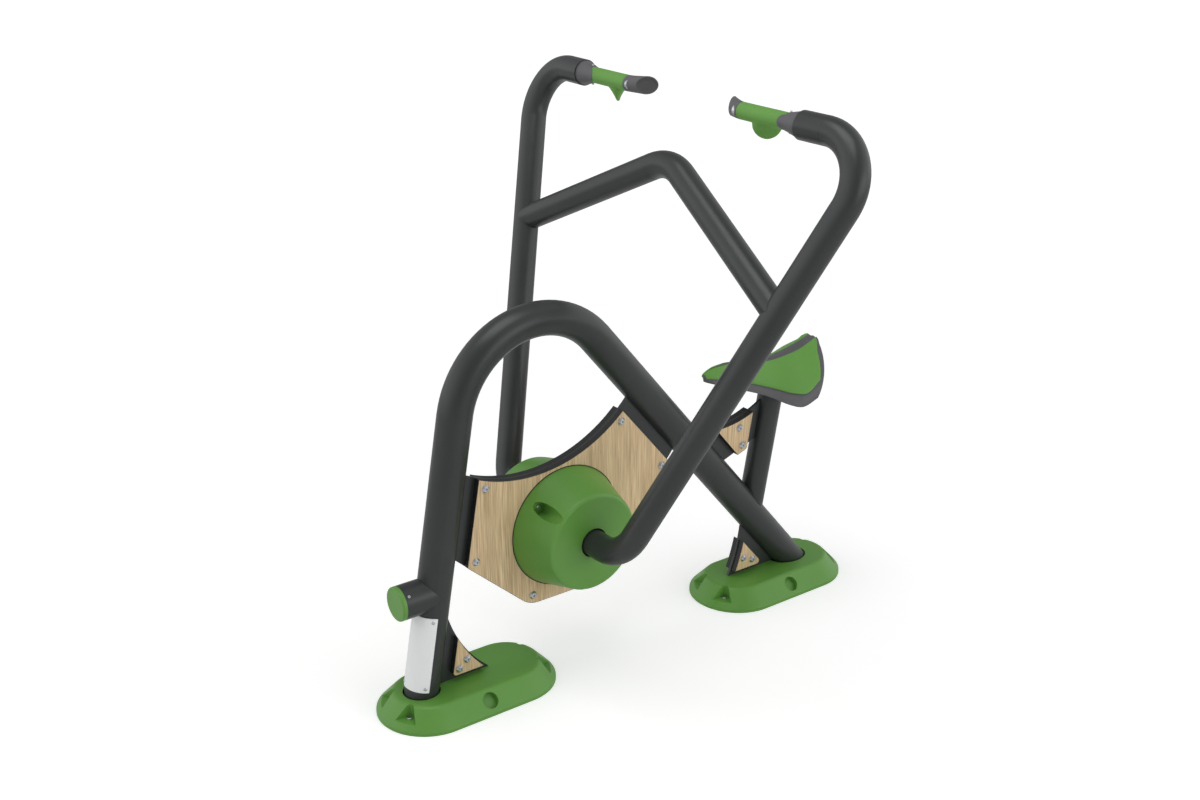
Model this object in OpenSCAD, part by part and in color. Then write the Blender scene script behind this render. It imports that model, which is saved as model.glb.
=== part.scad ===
// Outdoor bench press station: a bent tube frame with a saddle and a swinging press arm.
// Frame: origin on the ground midway between the two feet, +Z up, +X toward the saddle end,
// -Y on the user's left. All lengths in millimetres, all angles in degrees.

/* [Main tube] */
// Length over the two foot covers
overall_len = 1314; // [1200:1:1450]
// Outer diameter of the main tube and its stub
main_od = 76.1; // [70:0.1:82]
// Wall of the main tube
main_wall = 3.6; // [2.9:0.1:5]
// Lean of the front leg from upright
front_lean = 10; // [7:0.5:13]
// Lean of the rear leg from upright
rear_lean = 40.2; // [37:0.1:43]
// Centre-line radius of the top bend
arch_bend = 205; // [180:1:230]
// From the front end of the front foot cover to the front leg at ground level
front_leg_inset = 89.6; // [80:0.1:105]
// From the rear end of the rear foot cover to the rear leg at ground level
rear_leg_inset = 102.2; // [95:0.1:115]
// Height of the stub tube's axis on the front leg
stub_height = 278; // [262:1:300]
// Reach of the stub from the front leg's axis to the end of its cap
stub_reach = 93.5; // [75:0.5:130]

/* [Instruction plate] */
// Height of the plate's lower edge above the ground
sign_low = 62; // [58:1:70]
// Length of the plate along the front leg
sign_len = 174; // [120:1:178]
// Angle that the plate wraps round the leg
sign_wrap = 119; // [80:1:140]
// Turn of the plate's middle from straight ahead toward the user's left
sign_turn = 21.5; // [0:0.5:40]
// Thickness of the plate
sign_t = 2; // [1:0.5:3]

/* [Web] */
// Thickness of the steel plates
plate_t = 6; // [5:0.5:8]
// Thickness of each wood-faced panel
panel_t = 15; // [10:0.5:18]
// From a main tube axis to the near edge of a panel
panel_clear = 68; // [60:0.5:76]
// Height of the web's lower edge
web_bottom_z = 177; // [170:1:190]
// Height of the panel's front upper corner
web_front_top_z = 517; // [500:1:530]
// Height of the panel's rear upper corner
web_rear_top_z = 583; // [565:1:600]
// Height of the panel's rear lower corner
web_rear_low_z = 419.7; // [405:0.1:435]
// Height of the panel's front lower corner
web_front_low_z = 318; // [300:1:335]
// Radius of the hollow upper edge
web_arc_r = 355; // [320:1:420]
// Slope of the rear lower edge
web_rear_slope = 50.6; // [47:0.1:54]
// Slope of the front lower edge
web_front_slope = 41.9; // [39:0.1:45]
// Radius of the rounded lower corners
web_corner_r = 65; // [40:1:75]

/* [Gussets] */
// Height of the front gusset panel's upper point
front_gusset_z = 158; // [145:1:172]
// Reach of the front gusset panel's tip from the leg axis at the same height
front_gusset_reach = 147; // [135:1:155]
// Radius of the front gusset's hollow edge
front_gusset_r = 325; // [240:1:450]
// Height of the rear gusset panel's upper point
rear_gusset_z = 142; // [135:1:160]
// Reach of the rear gusset panel's tip from the leg axis at the same height
rear_gusset_reach = 174; // [165:1:182]
// Radius of the rear gusset's hollow edge
rear_gusset_r = 440; // [300:1:600]
// From a tube axis to the near edge of a gusset panel
gusset_clear = 65.5; // [60:0.5:70]
// How far the gusset plate stands proud of its panels along the hollow edge
gusset_reveal = 3; // [1:0.5:5]

/* [Pivot] */
// From the front end of the front foot cover to the pivot axis
pivot_from_front = 471.5; // [450:0.5:490]
// Height of the pivot axis
pivot_z = 346.5; // [335:0.5:360]
// Radius of a pivot cover at the panel
cover_base_r = 140.3; // [135:0.1:146]
// How far a pivot cover's side wall draws in on the way to its outer face
cover_draw = 29.2; // [24:0.1:34]
// Depth of a pivot cover from the panel to its outer face
cover_depth = 108.1; // [104:0.1:125]
// Radius of the cover's rounded outer edge
cover_edge_r = 9.5; // [6:0.5:14]
// Wall of the moulded covers
cover_wall = 4; // [3:0.5:5]
// Radius of the opening that the arm passes through
cover_hole_r = 33.5; // [32:0.1:38]
// Radius of the three screw scoops
scoop_r = 16; // [13:0.5:17]
// From a scoop's middle at its floor out to the cover's edge at the panel
scoop_inset = 22.3; // [20:0.1:24]
// Height of the scoop's floor above the panel
scoop_floor = 24; // [16:1:32]
// Outward tilt of a scoop
scoop_tilt = 6; // [3:0.5:8]
// Turn of the first scoop from level toward the rear
scoop_turn = 18.5; // [14:0.5:24]

/* [Press arm] */
// Outer diameter of the arm tubes, the crossbar and the saddle post
arm_od = 60.3; // [56:0.1:62]
// Wall of those tubes
arm_wall = 3.6; // [2.9:0.1:4.5]
// Half of the distance between the arms' lower corners
arm_foot_half = 222.4; // [205:0.1:240]
// Lean of the press arm toward the rear when it rests
arm_rake = 20.8; // [18:0.1:24]
// Outward splay of each arm
arm_splay = 21.25; // [18:0.05:24]
// Rise from the pivot axis to the arms' upper corners
arm_rise = 910.3; // [860:0.1:960]
// Centre-line radius of the lower elbow
elbow_bend = 90; // [80:1:110]
// Centre-line radius of the upper bend
shoulder_bend = 101; // [85:1:120]
// Sweep of the handles toward the front
handle_sweep = 3.2; // [0:0.1:6]
// Rise of the handles toward the middle
handle_rise = 0.5; // [0:0.1:3]
// From the middle to the inner end of each arm tube at the handle
arm_end_half = 364; // [345:1:385]
// Rise from the pivot axis to the crossbar's ends on the arms
crossbar_end_rise = 567; // [520:1:600]
// Rise from the pivot axis to the crossbar's crown, before its bend
crossbar_crown_rise = 782; // [740:1:820]
// Centre-line radius of the crossbar's bend
crossbar_bend = 105; // [85:1:140]
// Forward travel of the press arm
press_travel = 35; // [25:1:40]

/* [Handles] */
// Outer diameter of the grips
grip_od = 36.4; // [34:0.1:38]
// Length of a grip and its collar from the arm tube's end to the cap joint
grip_len = 174; // [160:1:185]
// Length of the conical collar
collar_len = 44; // [38:1:52]
// How far the collar's tongue reaches over the grip
tongue_len = 20; // [12:1:28]
// Radius of the paddle under a grip
paddle_r = 31; // [26:0.5:34]
// From the handle axis down to the paddle's lower end
paddle_drop = 48; // [42:0.5:54]
// Turn of the paddle from the handle axis
paddle_turn = 45; // [30:1:60]
// From the arm tube's end to the paddle's middle
paddle_from_end = 113; // [100:1:125]
// Rearward offset of the paddle's middle from the handle axis
paddle_back = 12; // [0:1:16]
// Length of the end cap along the handle axis to the middle of its face
grip_cap_len = 50; // [40:1:58]
// Rearward shift of the cap's face
grip_cap_back = 18; // [8:1:24]
// Angle of the cap's face from square
grip_cap_angle = 40; // [25:1:45]

/* [Saddle] */
// Lean of the saddle post from upright
post_lean = 10.2; // [8:0.1:13]
// From the rear end of the rear foot cover to the post's upper end
post_from_rear = 218.1; // [205:0.1:232]
// Height of the post's upper end
post_top_z = 540; // [525:1:555]
// Length of the saddle
saddle_len = 336; // [310:1:360]
// Width of the saddle
saddle_wid = 208; // [190:1:225]
// Height from the lowest edge of the lobes to the rear crest
saddle_high = 127; // [115:1:140]
// Reach of the nose ahead of the post's upper end
nose_reach = 217; // [200:1:230]
// How far the lobes hang below the post's upper end
lobe_drop = 35; // [25:1:42]
// Thickness of the saddle shell
shell_t = 6; // [4:0.5:8]
// Thickness of the pads at their crown
pad_t = 13; // [8:0.5:16]
// Half width of the channel between the pads
channel_half = 12.5; // [9:0.5:16]

/* [Feet] */
// Length of a foot cover
foot_len = 428.2; // [400:0.2:440]
// Width of a foot cover
foot_wid = 229.6; // [210:0.2:240]
// Height of a foot cover's flat top
foot_high = 49; // [46:0.5:54]
// Width of the sloping side all round
foot_slope = 38; // [30:0.5:44]
// Height of the upright edge at the ground
foot_edge = 8; // [5:0.5:12]
// Radius of the round hole in each long side
foot_hole_r = 18.5; // [12:0.5:20]
// Thickness of a base plate
base_t = 10; // [8:0.5:12]
// Distance between anchor holes along the base
anchor_len = 280; // [262:1:292]
// Distance between anchor holes across the base
anchor_wid = 110; // [104:1:124]
// Radius of an anchor hole
anchor_r = 7; // [5:0.5:8]

/* [Hidden] */

$fn = 64;

anthracite = "#3a3c3d";
moulded_green = "#5f9440";
oak = "#b89e7c";
grey_plastic = "#646366";
steel = "#b5b8bb";
black_rubber = "#1d1d1e";
sign_white = "#e6e7e5";

// Small sizes shared by several pieces
over = 1;            // overrun of every cut
seat_gap = 0.3;      // clearance where one piece seats on another
fit_gap = 0.05;      // clearance of a turned fit
bolt_r = 4;          // shank of the panel bolts
bolt_hole_r = 4.4;   // their holes
bolt_head_r = 9;     // their heads
bolt_head_h = 5;
screw_r = 3;         // shank of the cover screws
screw_hole_r = 3.2;
screw_head_r = 6;
screw_head_h = 3.6;

// Radii of the tubes
main_r = main_od / 2;
arm_r = arm_od / 2;
arm_bore_r = arm_r - arm_wall;

// Main tube axes in the side view, as [x, z] with unit directions along and inward
half_len = overall_len / 2;
front_foot = [-half_len + front_leg_inset, 0];
rear_foot = [half_len - rear_leg_inset, 0];
front_dir = [sin(front_lean), cos(front_lean)];
front_in = [cos(front_lean), -sin(front_lean)];
rear_dir = [-sin(rear_lean), cos(rear_lean)];
rear_in = [-cos(rear_lean), -sin(rear_lean)];
apex = meet(front_foot, front_dir, rear_foot, rear_dir);
tube_edge = main_r + seat_gap;

// Pivot covers
cover_face_r = cover_base_r - cover_draw;
scoop_reach = cover_base_r - scoop_inset;

// The pivot axis in the side view
pivot = [-half_len + pivot_from_front, pivot_z];
web_half = plate_t / 2 + panel_t;

// Foot places
foot_half = foot_wid / 2;
foot_mid = half_len - foot_len / 2;
foot_end = foot_len / 2 - foot_half;

function unit(v) = v / norm(v);
function flat3(p, y = 0) = [p[0], y, p[1]];

// Where the line through p along u meets the line through q along v
function meet(p, u, q, v) =
    p + u * (((q - p)[0] * v[1] - (q - p)[1] * v[0]) / (u[0] * v[1] - u[1] * v[0]));

// The point at height z on a line that runs beside an axis at the distance off
function beside(foot, dir, side, off, z) =
    let (p = foot + side * off)
    p + dir * ((z - p[1]) / dir[1]);

// Centre of an arc of radius r through p and q, on the left of the way from p to q
function arc_centre(p, q, r) =
    let (half = norm(q - p) / 2, way = unit(q - p))
    (p + q) / 2 + [-way[1], way[0]] * sqrt(r * r - half * half);

// Where the line from p along the unit vector u first meets a circle
function onto_circle(p, u, centre, r) =
    let (reach = (centre - p) * u, miss = norm(p + u * reach - centre))
    p + u * (reach - sqrt(r * r - miss * miss));

// Points of a corner at b rounded with radius r, as short chords
function rounded_corner(a, b, c, r, steps = 8) =
    let (u = unit(a - b), v = unit(c - b), half = acos(u * v) / 2)
    let (centre = b + unit(u + v) * (r / sin(half)))
    let (from = b + u * (r / tan(half)) - centre, to = b + v * (r / tan(half)) - centre)
    let (start = atan2(from[1], from[0]), turn = atan2(to[1], to[0]) - start)
    let (swing = (turn + 540) % 360 - 180)
    [for (i = [0:steps]) centre + r * [cos(start + swing * i / steps), sin(start + swing * i / steps)]];

// A closed outline with some of its corners rounded
function rounded(points, radii) =
    let (n = len(points))
    [for (i = [0:n - 1])
        each radii[i] > 0
            ? rounded_corner(points[(i + n - 1) % n], points[i], points[(i + 1) % n], radii[i])
            : [points[i]]];

// A side-view outline made into a plate between two Y positions
module side_plate(low_y, high_y) {
    translate([0, high_y, 0])
        rotate([90, 0, 0])
            linear_extrude(high_y - low_y)
                children();
}

// Children placed so that their own Z runs along way and their X along across
module along(place, way, across) {
    w = unit(way);
    side = unit(cross(w, across));
    front = cross(side, w);
    multmatrix([
        [front[0], side[0], w[0], place[0]],
        [front[1], side[1], w[1], place[1]],
        [front[2], side[2], w[2], place[2]],
        [0, 0, 0, 1]
    ])
        children();
}

// A direction that is never parallel to v
function aside(v) = abs(unit(v)[1]) > 0.7 ? [1, 0, 0] : [0, 1, 0];

module rod(from, to, r) {
    along(from, to - from, aside(to - from))
        cylinder(h = norm(to - from), r = r);
}

// Setback of a bend from the corner between two straight runs
function setback(a, b, c, bend) =
    bend * tan(acos(min(1, max(-1, unit(b - a) * unit(c - b)))) / 2);

module elbow(a, b, c, bend, r) {
    way_in = unit(b - a);
    way_out = unit(c - b);
    turn = acos(way_in * way_out);
    toward = unit(way_out - (way_out * way_in) * way_in);
    start = b - way_in * setback(a, b, c, bend);
    centre = start + toward * bend;
    normal = cross(-toward, way_in);
    along(centre, normal, -toward)
        rotate_extrude(angle = turn)
            translate([bend, 0])
                circle(r = r);
}

// A round bar through the corners pts, bent at each inner corner with its own radius.
// A bend is drawn in a little, as in a real bent tube, and the straight runs lap over it.
bend_lap = 2;
bend_draw = 0.15;

module bent_bar(pts, bends, r) {
    last = len(pts) - 1;
    back = [for (i = [0:last])
        i == 0 || i == last
            ? 0
            : setback(pts[i - 1], pts[i], pts[i + 1], bends[i - 1]) - bend_lap];
    for (i = [0:last - 1]) {
        way = unit(pts[i + 1] - pts[i]);
        rod(pts[i] + way * back[i], pts[i + 1] - way * back[i + 1], r);
    }
    for (i = [1:last - 1])
        elbow(pts[i - 1], pts[i], pts[i + 1], bends[i - 1], r - bend_draw);
}

// The same corners with both ends carried on by some length
function longer(pts, extra) =
    let (last = len(pts) - 1)
    [for (i = [0:last])
        i == 0 ? pts[0] - unit(pts[1] - pts[0]) * extra
        : i == last ? pts[last] + unit(pts[last] - pts[last - 1]) * extra
        : pts[i]];

module bent_tube(pts, bends, r, wall) {
    difference() {
        bent_bar(pts, bends, r);
        bent_bar(longer(pts, over), bends, r - wall);
    }
}

// Main tube: one tube bent over the pivot, its feet cut level on the base plates
main_path = [
    flat3(front_foot - front_dir * main_od),
    flat3(apex),
    flat3(rear_foot - rear_dir * main_od)
];

// Clearance round the two straight legs
module leg_cut() {
    for (end = [0, 2])
        rod(main_path[end], main_path[1], main_r + seat_gap);
}

module below_base() {
    translate([-overall_len, -overall_len / 2, base_t - overall_len])
        cube([2 * overall_len, overall_len, overall_len]);
}

module main_tube() {
    color(anthracite)
        difference() {
            bent_tube(main_path, [arch_bend], main_r, main_wall);
            below_base();
            rivet_places()
                cylinder(h = main_r, r = rivet_hole_r);
        }
}

// Stub: a short branch on the front leg, closed with a moulded cap
stub_axis_x = beside(front_foot, front_dir, front_in, 0, stub_height)[0];
stub_end_x = stub_axis_x - stub_reach;
stub_cap_t = 10;
stub_cap_edge = 4;
stub_plug_len = 18;
stub_bore_r = main_r - main_wall;
stub_screw_r = 3;
stub_screw_turn = 42;

module stub_place() {
    translate([stub_end_x, 0, stub_height])
        rotate([0, 90, 0])
            children();
}

module stub_screw_place() {
    stub_place()
        translate([0, 0, stub_cap_t + stub_plug_len / 2])
            rotate([0, 0, -stub_screw_turn])
                rotate([90, 0, 0])
                    children();
}

module stub_tube() {
    color(anthracite)
        difference() {
            stub_place()
                translate([0, 0, stub_cap_t])
                    difference() {
                        cylinder(h = stub_reach - stub_cap_t, r = main_r);
                        translate([0, 0, -over])
                            cylinder(h = stub_reach, r = stub_bore_r);
                    }
            leg_cut();
            stub_screw_place()
                cylinder(h = main_od, r = stub_screw_r + fit_gap);
        }
}

module stub_cap() {
    color(moulded_green)
        difference() {
            stub_place()
                rotate_extrude()
                    polygon(rounded(
                        [[0, 0], [main_r, 0], [main_r, stub_cap_t],
                         [stub_bore_r - fit_gap, stub_cap_t],
                         [stub_bore_r - fit_gap, stub_cap_t + stub_plug_len],
                         [0, stub_cap_t + stub_plug_len]],
                        [0, stub_cap_edge, 0, 0, 0, 0]));
            stub_screw_place()
                cylinder(h = main_od, r = stub_screw_r + fit_gap);
        }
}

module stub_screw() {
    color(steel)
        stub_screw_place()
            difference() {
                translate([0, 0, main_r / 2])
                    cylinder(h = main_r / 2 + main_wall / 4, r = stub_screw_r);
                translate([0, 0, main_r - main_wall / 2])
                    cylinder(h = main_wall + over, r = stub_screw_r / 2, $fn = 6);
            }
}

// Instruction plate: a bare curved sheet held to the front leg by four rivets
rivet_r = 2.4;
rivet_hole_r = 2.5;
rivet_head_r = 4;
rivet_head_h = 1.6;
rivet_len = 8;
rivet_inset = 9;
sign_in_r = main_r + seat_gap / 2;
sign_foot = beside(front_foot, front_dir, front_in, 0, sign_low);
rivet_inset_turn = asin(rivet_inset / main_r);

// Own Z up the leg, own X straight ahead, turned to the plate's middle
module leg_place() {
    along(flat3(sign_foot), flat3(front_dir), [-1, 0, 0])
        rotate([0, 0, sign_turn])
            children();
}

module rivet_places() {
    for (side = [-1, 1])
        for (up = [rivet_inset, sign_len - rivet_inset])
            leg_place()
                rotate([0, 0, side * (sign_wrap / 2 - rivet_inset_turn)])
                    translate([0, 0, up])
                        rotate([0, 90, 0])
                            translate([0, 0, sign_in_r + sign_t + rivet_head_h - main_r])
                                children();
}

module instruction_plate() {
    color(sign_white)
        difference() {
            leg_place()
                rotate([0, 0, -sign_wrap / 2])
                    rotate_extrude(angle = sign_wrap)
                        translate([sign_in_r, 0])
                            square([sign_t, sign_len]);
            rivet_places()
                cylinder(h = main_r, r = rivet_hole_r);
        }
}

module plate_rivets() {
    color(steel)
        rivet_places()
            translate([0, 0, main_r - rivet_head_h - rivet_len])
                rotate_extrude()
                    polygon([
                        [0, 0], [rivet_r, 0], [rivet_r, rivet_len],
                        [rivet_head_r, rivet_len], [rivet_head_r / 2, rivet_len + rivet_head_h],
                        [0, rivet_len + rivet_head_h]
                    ]);
}

// Web: a steel plate between the legs with a wood-faced panel on each side.
web_rear_low = beside(rear_foot, rear_dir, rear_in, panel_clear, web_rear_low_z);
web_front_low = beside(front_foot, front_dir, front_in, panel_clear, web_front_low_z);
web_front_top = beside(front_foot, front_dir, front_in, panel_clear, web_front_top_z);
web_rear_top = beside(rear_foot, rear_dir, rear_in, panel_clear, web_rear_top_z);
web_rear_way = [cos(web_rear_slope), sin(web_rear_slope)];
web_front_way = [-cos(web_front_slope), sin(web_front_slope)];
web_arc_mid = arc_centre(web_front_top, web_rear_top, web_arc_r);
web_bottom_rear = meet(web_rear_low, web_rear_way, [0, web_bottom_z], [1, 0]);
web_bottom_front = meet(web_front_low, web_front_way, [0, web_bottom_z], [1, 0]);

function web_points(off) = [
    web_bottom_rear,
    meet(rear_foot + rear_in * off, rear_dir, web_rear_low, web_rear_way),
    onto_circle(rear_foot + rear_in * off, rear_dir, web_arc_mid, web_arc_r),
    onto_circle(front_foot + front_in * off, front_dir, web_arc_mid, web_arc_r),
    meet(front_foot + front_in * off, front_dir, web_front_low, web_front_way),
    web_bottom_front
];

module web_outline(off) {
    difference() {
        polygon(rounded(web_points(off), [web_corner_r, 0, 0, 0, 0, web_corner_r]));
        translate(web_arc_mid)
            circle(r = web_arc_r);
    }
}

// Bolt places on the web, set in from the panel's own edges
bolt_inset = 19.6;
bolt_drop = 25;
bolt_lift = 9;
bolt_in_edge = panel_clear + bolt_inset;
bolt_low = 22;

web_bolts = [
    beside(front_foot, front_dir, front_in, bolt_in_edge, web_front_top_z - bolt_drop),
    beside(front_foot, front_dir, front_in, bolt_in_edge, web_front_low_z + bolt_lift),
    web_bottom_front + [bolt_lift, bolt_low],
    web_bottom_rear + [-bolt_lift, bolt_low],
    beside(rear_foot, rear_dir, rear_in, bolt_in_edge, web_rear_low_z),
    beside(rear_foot, rear_dir, rear_in, bolt_in_edge, web_rear_top_z - bolt_drop)
];

module bolt_holes(places) {
    for (p = places)
        translate(p)
            circle(r = bolt_hole_r);
}

module web_plate() {
    color(anthracite)
        side_plate(-plate_t / 2, plate_t / 2)
            difference() {
                web_outline(tube_edge);
                bolt_holes(concat(web_bolts, cover_screw_spots, inner_bolt_spots));
                translate(pivot)
                    circle(r = hub_r);
            }
}

// A wood-faced panel on one side of its plate
module panel(side) {
    low = side < 0 ? -web_half : plate_t / 2;
    color(oak)
        side_plate(low, low + panel_t)
            children();
}

module web_panel_shape() {
    difference() {
        web_outline(panel_clear);
        bolt_holes(concat(web_bolts, inner_bolt_spots));
        for (p = cover_screw_spots)
            translate(p)
                circle(r = screw_hole_r);
        translate(pivot)
            circle(r = hub_r + over);
    }
}

module web_panel_left() {
    panel(-1)
        web_panel_shape();
}

module web_panel_right() {
    panel(1)
        web_panel_shape();
}

// Gussets: a three-cornered plate behind each leg's foot, with a panel on each side.
// The hollow edge is an arc through the panel's upper point and its tip.
gusset_lift = 2;             // plate above the foot cover
gusset_panel_lift = 16.5;    // panels above the foot cover
gusset_corner_r = 8;

panel_low_z = foot_high + gusset_panel_lift;
plate_low_z = foot_high + gusset_lift;
front_top_point = beside(front_foot, front_dir, front_in, gusset_clear, front_gusset_z);
front_tip_point = beside(front_foot, front_dir, front_in, 0, panel_low_z)
    + [front_gusset_reach, 0];
front_heel_point = beside(front_foot, front_dir, front_in, gusset_clear, panel_low_z);
front_arc_mid = arc_centre(front_top_point, front_tip_point, front_gusset_r);
rear_top_point = beside(rear_foot, rear_dir, rear_in, gusset_clear, rear_gusset_z);
rear_tip_point = beside(rear_foot, rear_dir, rear_in, 0, panel_low_z)
    - [rear_gusset_reach, 0];
rear_heel_point = beside(rear_foot, rear_dir, rear_in, gusset_clear, panel_low_z);
rear_arc_mid = arc_centre(rear_tip_point, rear_top_point, rear_gusset_r);

// Point of an arc at height z, on its left (-1) or right (+1) side
function arc_at(mid, r, z, hand) = [mid[0] + hand * sqrt(r * r - pow(z - mid[1], 2)), z];

module gusset_panel_shape(heel, top, tip, mid, r, bolts) {
    difference() {
        polygon(rounded([heel, tip, top], [gusset_corner_r, 0, 0]));
        translate(mid)
            circle(r = r);
        bolt_holes(bolts);
    }
}

// The plate follows the same arc a little proud and runs on to the tube
module gusset_plate(foot, dir, side, mid, r, top_z, hand, bolts) {
    color(anthracite)
        side_plate(-plate_t / 2, plate_t / 2)
            difference() {
                polygon([
                    beside(foot, dir, side, tube_edge, plate_low_z),
                    arc_at(mid, r - gusset_reveal, plate_low_z, hand),
                    arc_at(mid, r - gusset_reveal, top_z, hand),
                    beside(foot, dir, side, tube_edge, top_z)
                ]);
                translate(mid)
                    circle(r = r - gusset_reveal);
                bolt_holes(bolts);
            }
}

// Bolt places as shares of the way from the heel to the tip and from the heel to the top
gusset_bolt_shares = [[0.21, 0.16], [0.47, 0.35]];
rear_bolt_shares = [[0.376, 0.25], [0.71, 0.4]];

function gusset_spots(heel, tip, top, shares) =
    [for (s = shares) heel + [(tip - heel)[0] * s[0], (top - heel)[1] * s[1]]];

front_gusset_bolts = gusset_spots(front_heel_point, front_tip_point, front_top_point,
    gusset_bolt_shares);
rear_gusset_bolts = gusset_spots(rear_heel_point, rear_tip_point, rear_top_point,
    rear_bolt_shares);

// Rise of each gusset plate's upper end above its panels' upper points
front_plate_rise = 44;
rear_plate_rise = 37;

module front_gusset() {
    gusset_plate(front_foot, front_dir, front_in, front_arc_mid, front_gusset_r,
        front_gusset_z + front_plate_rise, -1, front_gusset_bolts);
}

module rear_gusset() {
    gusset_plate(rear_foot, rear_dir, rear_in, rear_arc_mid, rear_gusset_r,
        rear_gusset_z + rear_plate_rise, 1, rear_gusset_bolts);
}

module front_panel_shape() {
    gusset_panel_shape(front_heel_point, front_top_point, front_tip_point,
        front_arc_mid, front_gusset_r, front_gusset_bolts);
}

module rear_panel_shape() {
    gusset_panel_shape(rear_heel_point, rear_top_point, rear_tip_point,
        rear_arc_mid, rear_gusset_r, rear_gusset_bolts);
}

module front_panel_left() {
    panel(-1)
        front_panel_shape();
}

module front_panel_right() {
    panel(1)
        front_panel_shape();
}

module rear_panel_left() {
    panel(-1)
        rear_panel_shape();
}

module rear_panel_right() {
    panel(1)
        rear_panel_shape();
}

// Saddle post: a tube cut to the rear leg below and level under the saddle above
post_top = [half_len - post_from_rear, post_top_z];
post_dir = [sin(post_lean), cos(post_lean)];
post_front = [-cos(post_lean), sin(post_lean)];
post_foot = post_top - post_dir * (post_top_z / post_dir[1]);
post_joint = meet(post_foot, post_dir, rear_foot, rear_dir);

module seat_post() {
    color(anthracite)
        difference() {
            bent_tube([flat3(post_joint), flat3(post_top + post_dir * arm_od)], [],
                arm_r, arm_wall);
            leg_cut();
            translate([post_top[0] - arm_od, -arm_od, post_top_z])
                cube([2 * arm_od, 2 * arm_od, 2 * arm_od]);
        }
}

// Bracket between the rear leg and the saddle post
bracket_clear = 63.5;        // from the post's axis to the panels
bracket_low_z = 383.4;       // panels' lower corner at the leg
bracket_low_slope = 20;
bracket_front_z = 465.2;     // panels' upper corner at the leg
bracket_rear_z = 485.3;      // panels' upper corner at the post
bracket_arc_r = 275;
bracket_bolt_in = [17.6, 36.2];
bracket_bolt_up = [13, 60];

bracket_low = beside(rear_foot, rear_dir, -rear_in, panel_clear, bracket_low_z);
bracket_low_way = [cos(bracket_low_slope), sin(bracket_low_slope)];
bracket_front = beside(rear_foot, rear_dir, -rear_in, panel_clear, bracket_front_z);
bracket_rear = beside(post_foot, post_dir, post_front, bracket_clear, bracket_rear_z);
bracket_heel = meet(post_foot + post_front * bracket_clear, post_dir, bracket_low,
    bracket_low_way);
bracket_arc_mid = arc_centre(bracket_front, bracket_rear, bracket_arc_r);
bracket_bolts = [for (i = [0:1])
    beside(post_foot, post_dir, post_front, bracket_clear + bracket_bolt_in[i],
        bracket_heel[1] + bracket_bolt_up[i])];

function bracket_points(leg_off, post_off) = [
    meet(rear_foot - rear_in * leg_off, rear_dir, bracket_low, bracket_low_way),
    meet(post_foot + post_front * post_off, post_dir, bracket_low, bracket_low_way),
    onto_circle(post_foot + post_front * post_off, post_dir, bracket_arc_mid, bracket_arc_r),
    onto_circle(rear_foot - rear_in * leg_off, rear_dir, bracket_arc_mid, bracket_arc_r)
];

module bracket_outline(leg_off, post_off, corner) {
    difference() {
        polygon(rounded(bracket_points(leg_off, post_off), [0, corner, 0, 0]));
        translate(bracket_arc_mid)
            circle(r = bracket_arc_r);
        bolt_holes(bracket_bolts);
    }
}

module seat_bracket() {
    color(anthracite)
        side_plate(-plate_t / 2, plate_t / 2)
            bracket_outline(tube_edge, arm_r + seat_gap, 0);
}

module bracket_panel_left() {
    panel(-1)
        bracket_outline(panel_clear, bracket_clear, gusset_corner_r);
}

module bracket_panel_right() {
    panel(1)
        bracket_outline(panel_clear, bracket_clear, gusset_corner_r);
}

// Panel bolts with flanged button heads on the left, sleeve nuts on the right
all_bolts = concat(web_bolts, front_gusset_bolts, rear_gusset_bolts, bracket_bolts);
head_flange_h = 1.4;
head_dome_share = 0.62;
hex_r = 2.9;

// A flanged button head standing on z = 0, with a six-sided socket
module button_head() {
    difference() {
        rotate_extrude()
            polygon(rounded(
                [[0, 0], [bolt_head_r, 0], [bolt_head_r, head_flange_h],
                 [bolt_head_r * head_dome_share, bolt_head_h], [0, bolt_head_h]],
                [0, 0, 0, head_flange_h, 0]));
        translate([0, 0, bolt_head_h / 2])
            cylinder(h = bolt_head_h, r = hex_r, $fn = 6);
    }
}

// Own Z out of the panel at the side-view place p
module at_side(p, side, y) {
    translate([p[0], side * y, p[1]])
        rotate([side < 0 ? 90 : -90, 0, 0])
            children();
}

module panel_bolts() {
    color(steel)
        for (p = all_bolts)
            at_side(p, -1, web_half) {
                button_head();
                translate([0, 0, -2 * web_half])
                    cylinder(h = 2 * web_half, r = bolt_r);
            }
}

module panel_nuts() {
    color(steel)
        for (p = all_bolts)
            at_side(p, 1, web_half)
                button_head();
}

// Saddle: one surface S(u, v) from the nose to the rear and from the middle line to the rim.
// Tables hold shares of the saddle's length, half width and height at even stations.
mid_x_shares = [0, 0.095, 0.22, 0.35, 0.485, 0.622, 0.753, 0.878, 1];
mid_z_shares = [0.78, 0.85, 0.846, 0.795, 0.748, 0.736, 0.772, 0.843, 0.985];
rim_x_shares = [0.006, 0.0625, 0.158, 0.271, 0.387, 0.482, 0.568, 0.67, 0.804];
rim_y_shares = [0.067, 0.163, 0.24, 0.327, 0.433, 0.596, 0.827, 0.99, 1];
rim_z_shares = [0.709, 0.614, 0.512, 0.409, 0.299, 0.197, 0.071, 0, 0.102];
saddle_low_z = post_top_z - lobe_drop;
saddle_nose_x = post_top[0] - nose_reach;
seat_rows = 18;        // steps from the nose to the rear
seat_cols = 12;        // steps from the middle to the rim
channel_cols = 2;      // of them inside the channel
rim_cols = 3;          // of them on the bare rim

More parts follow.
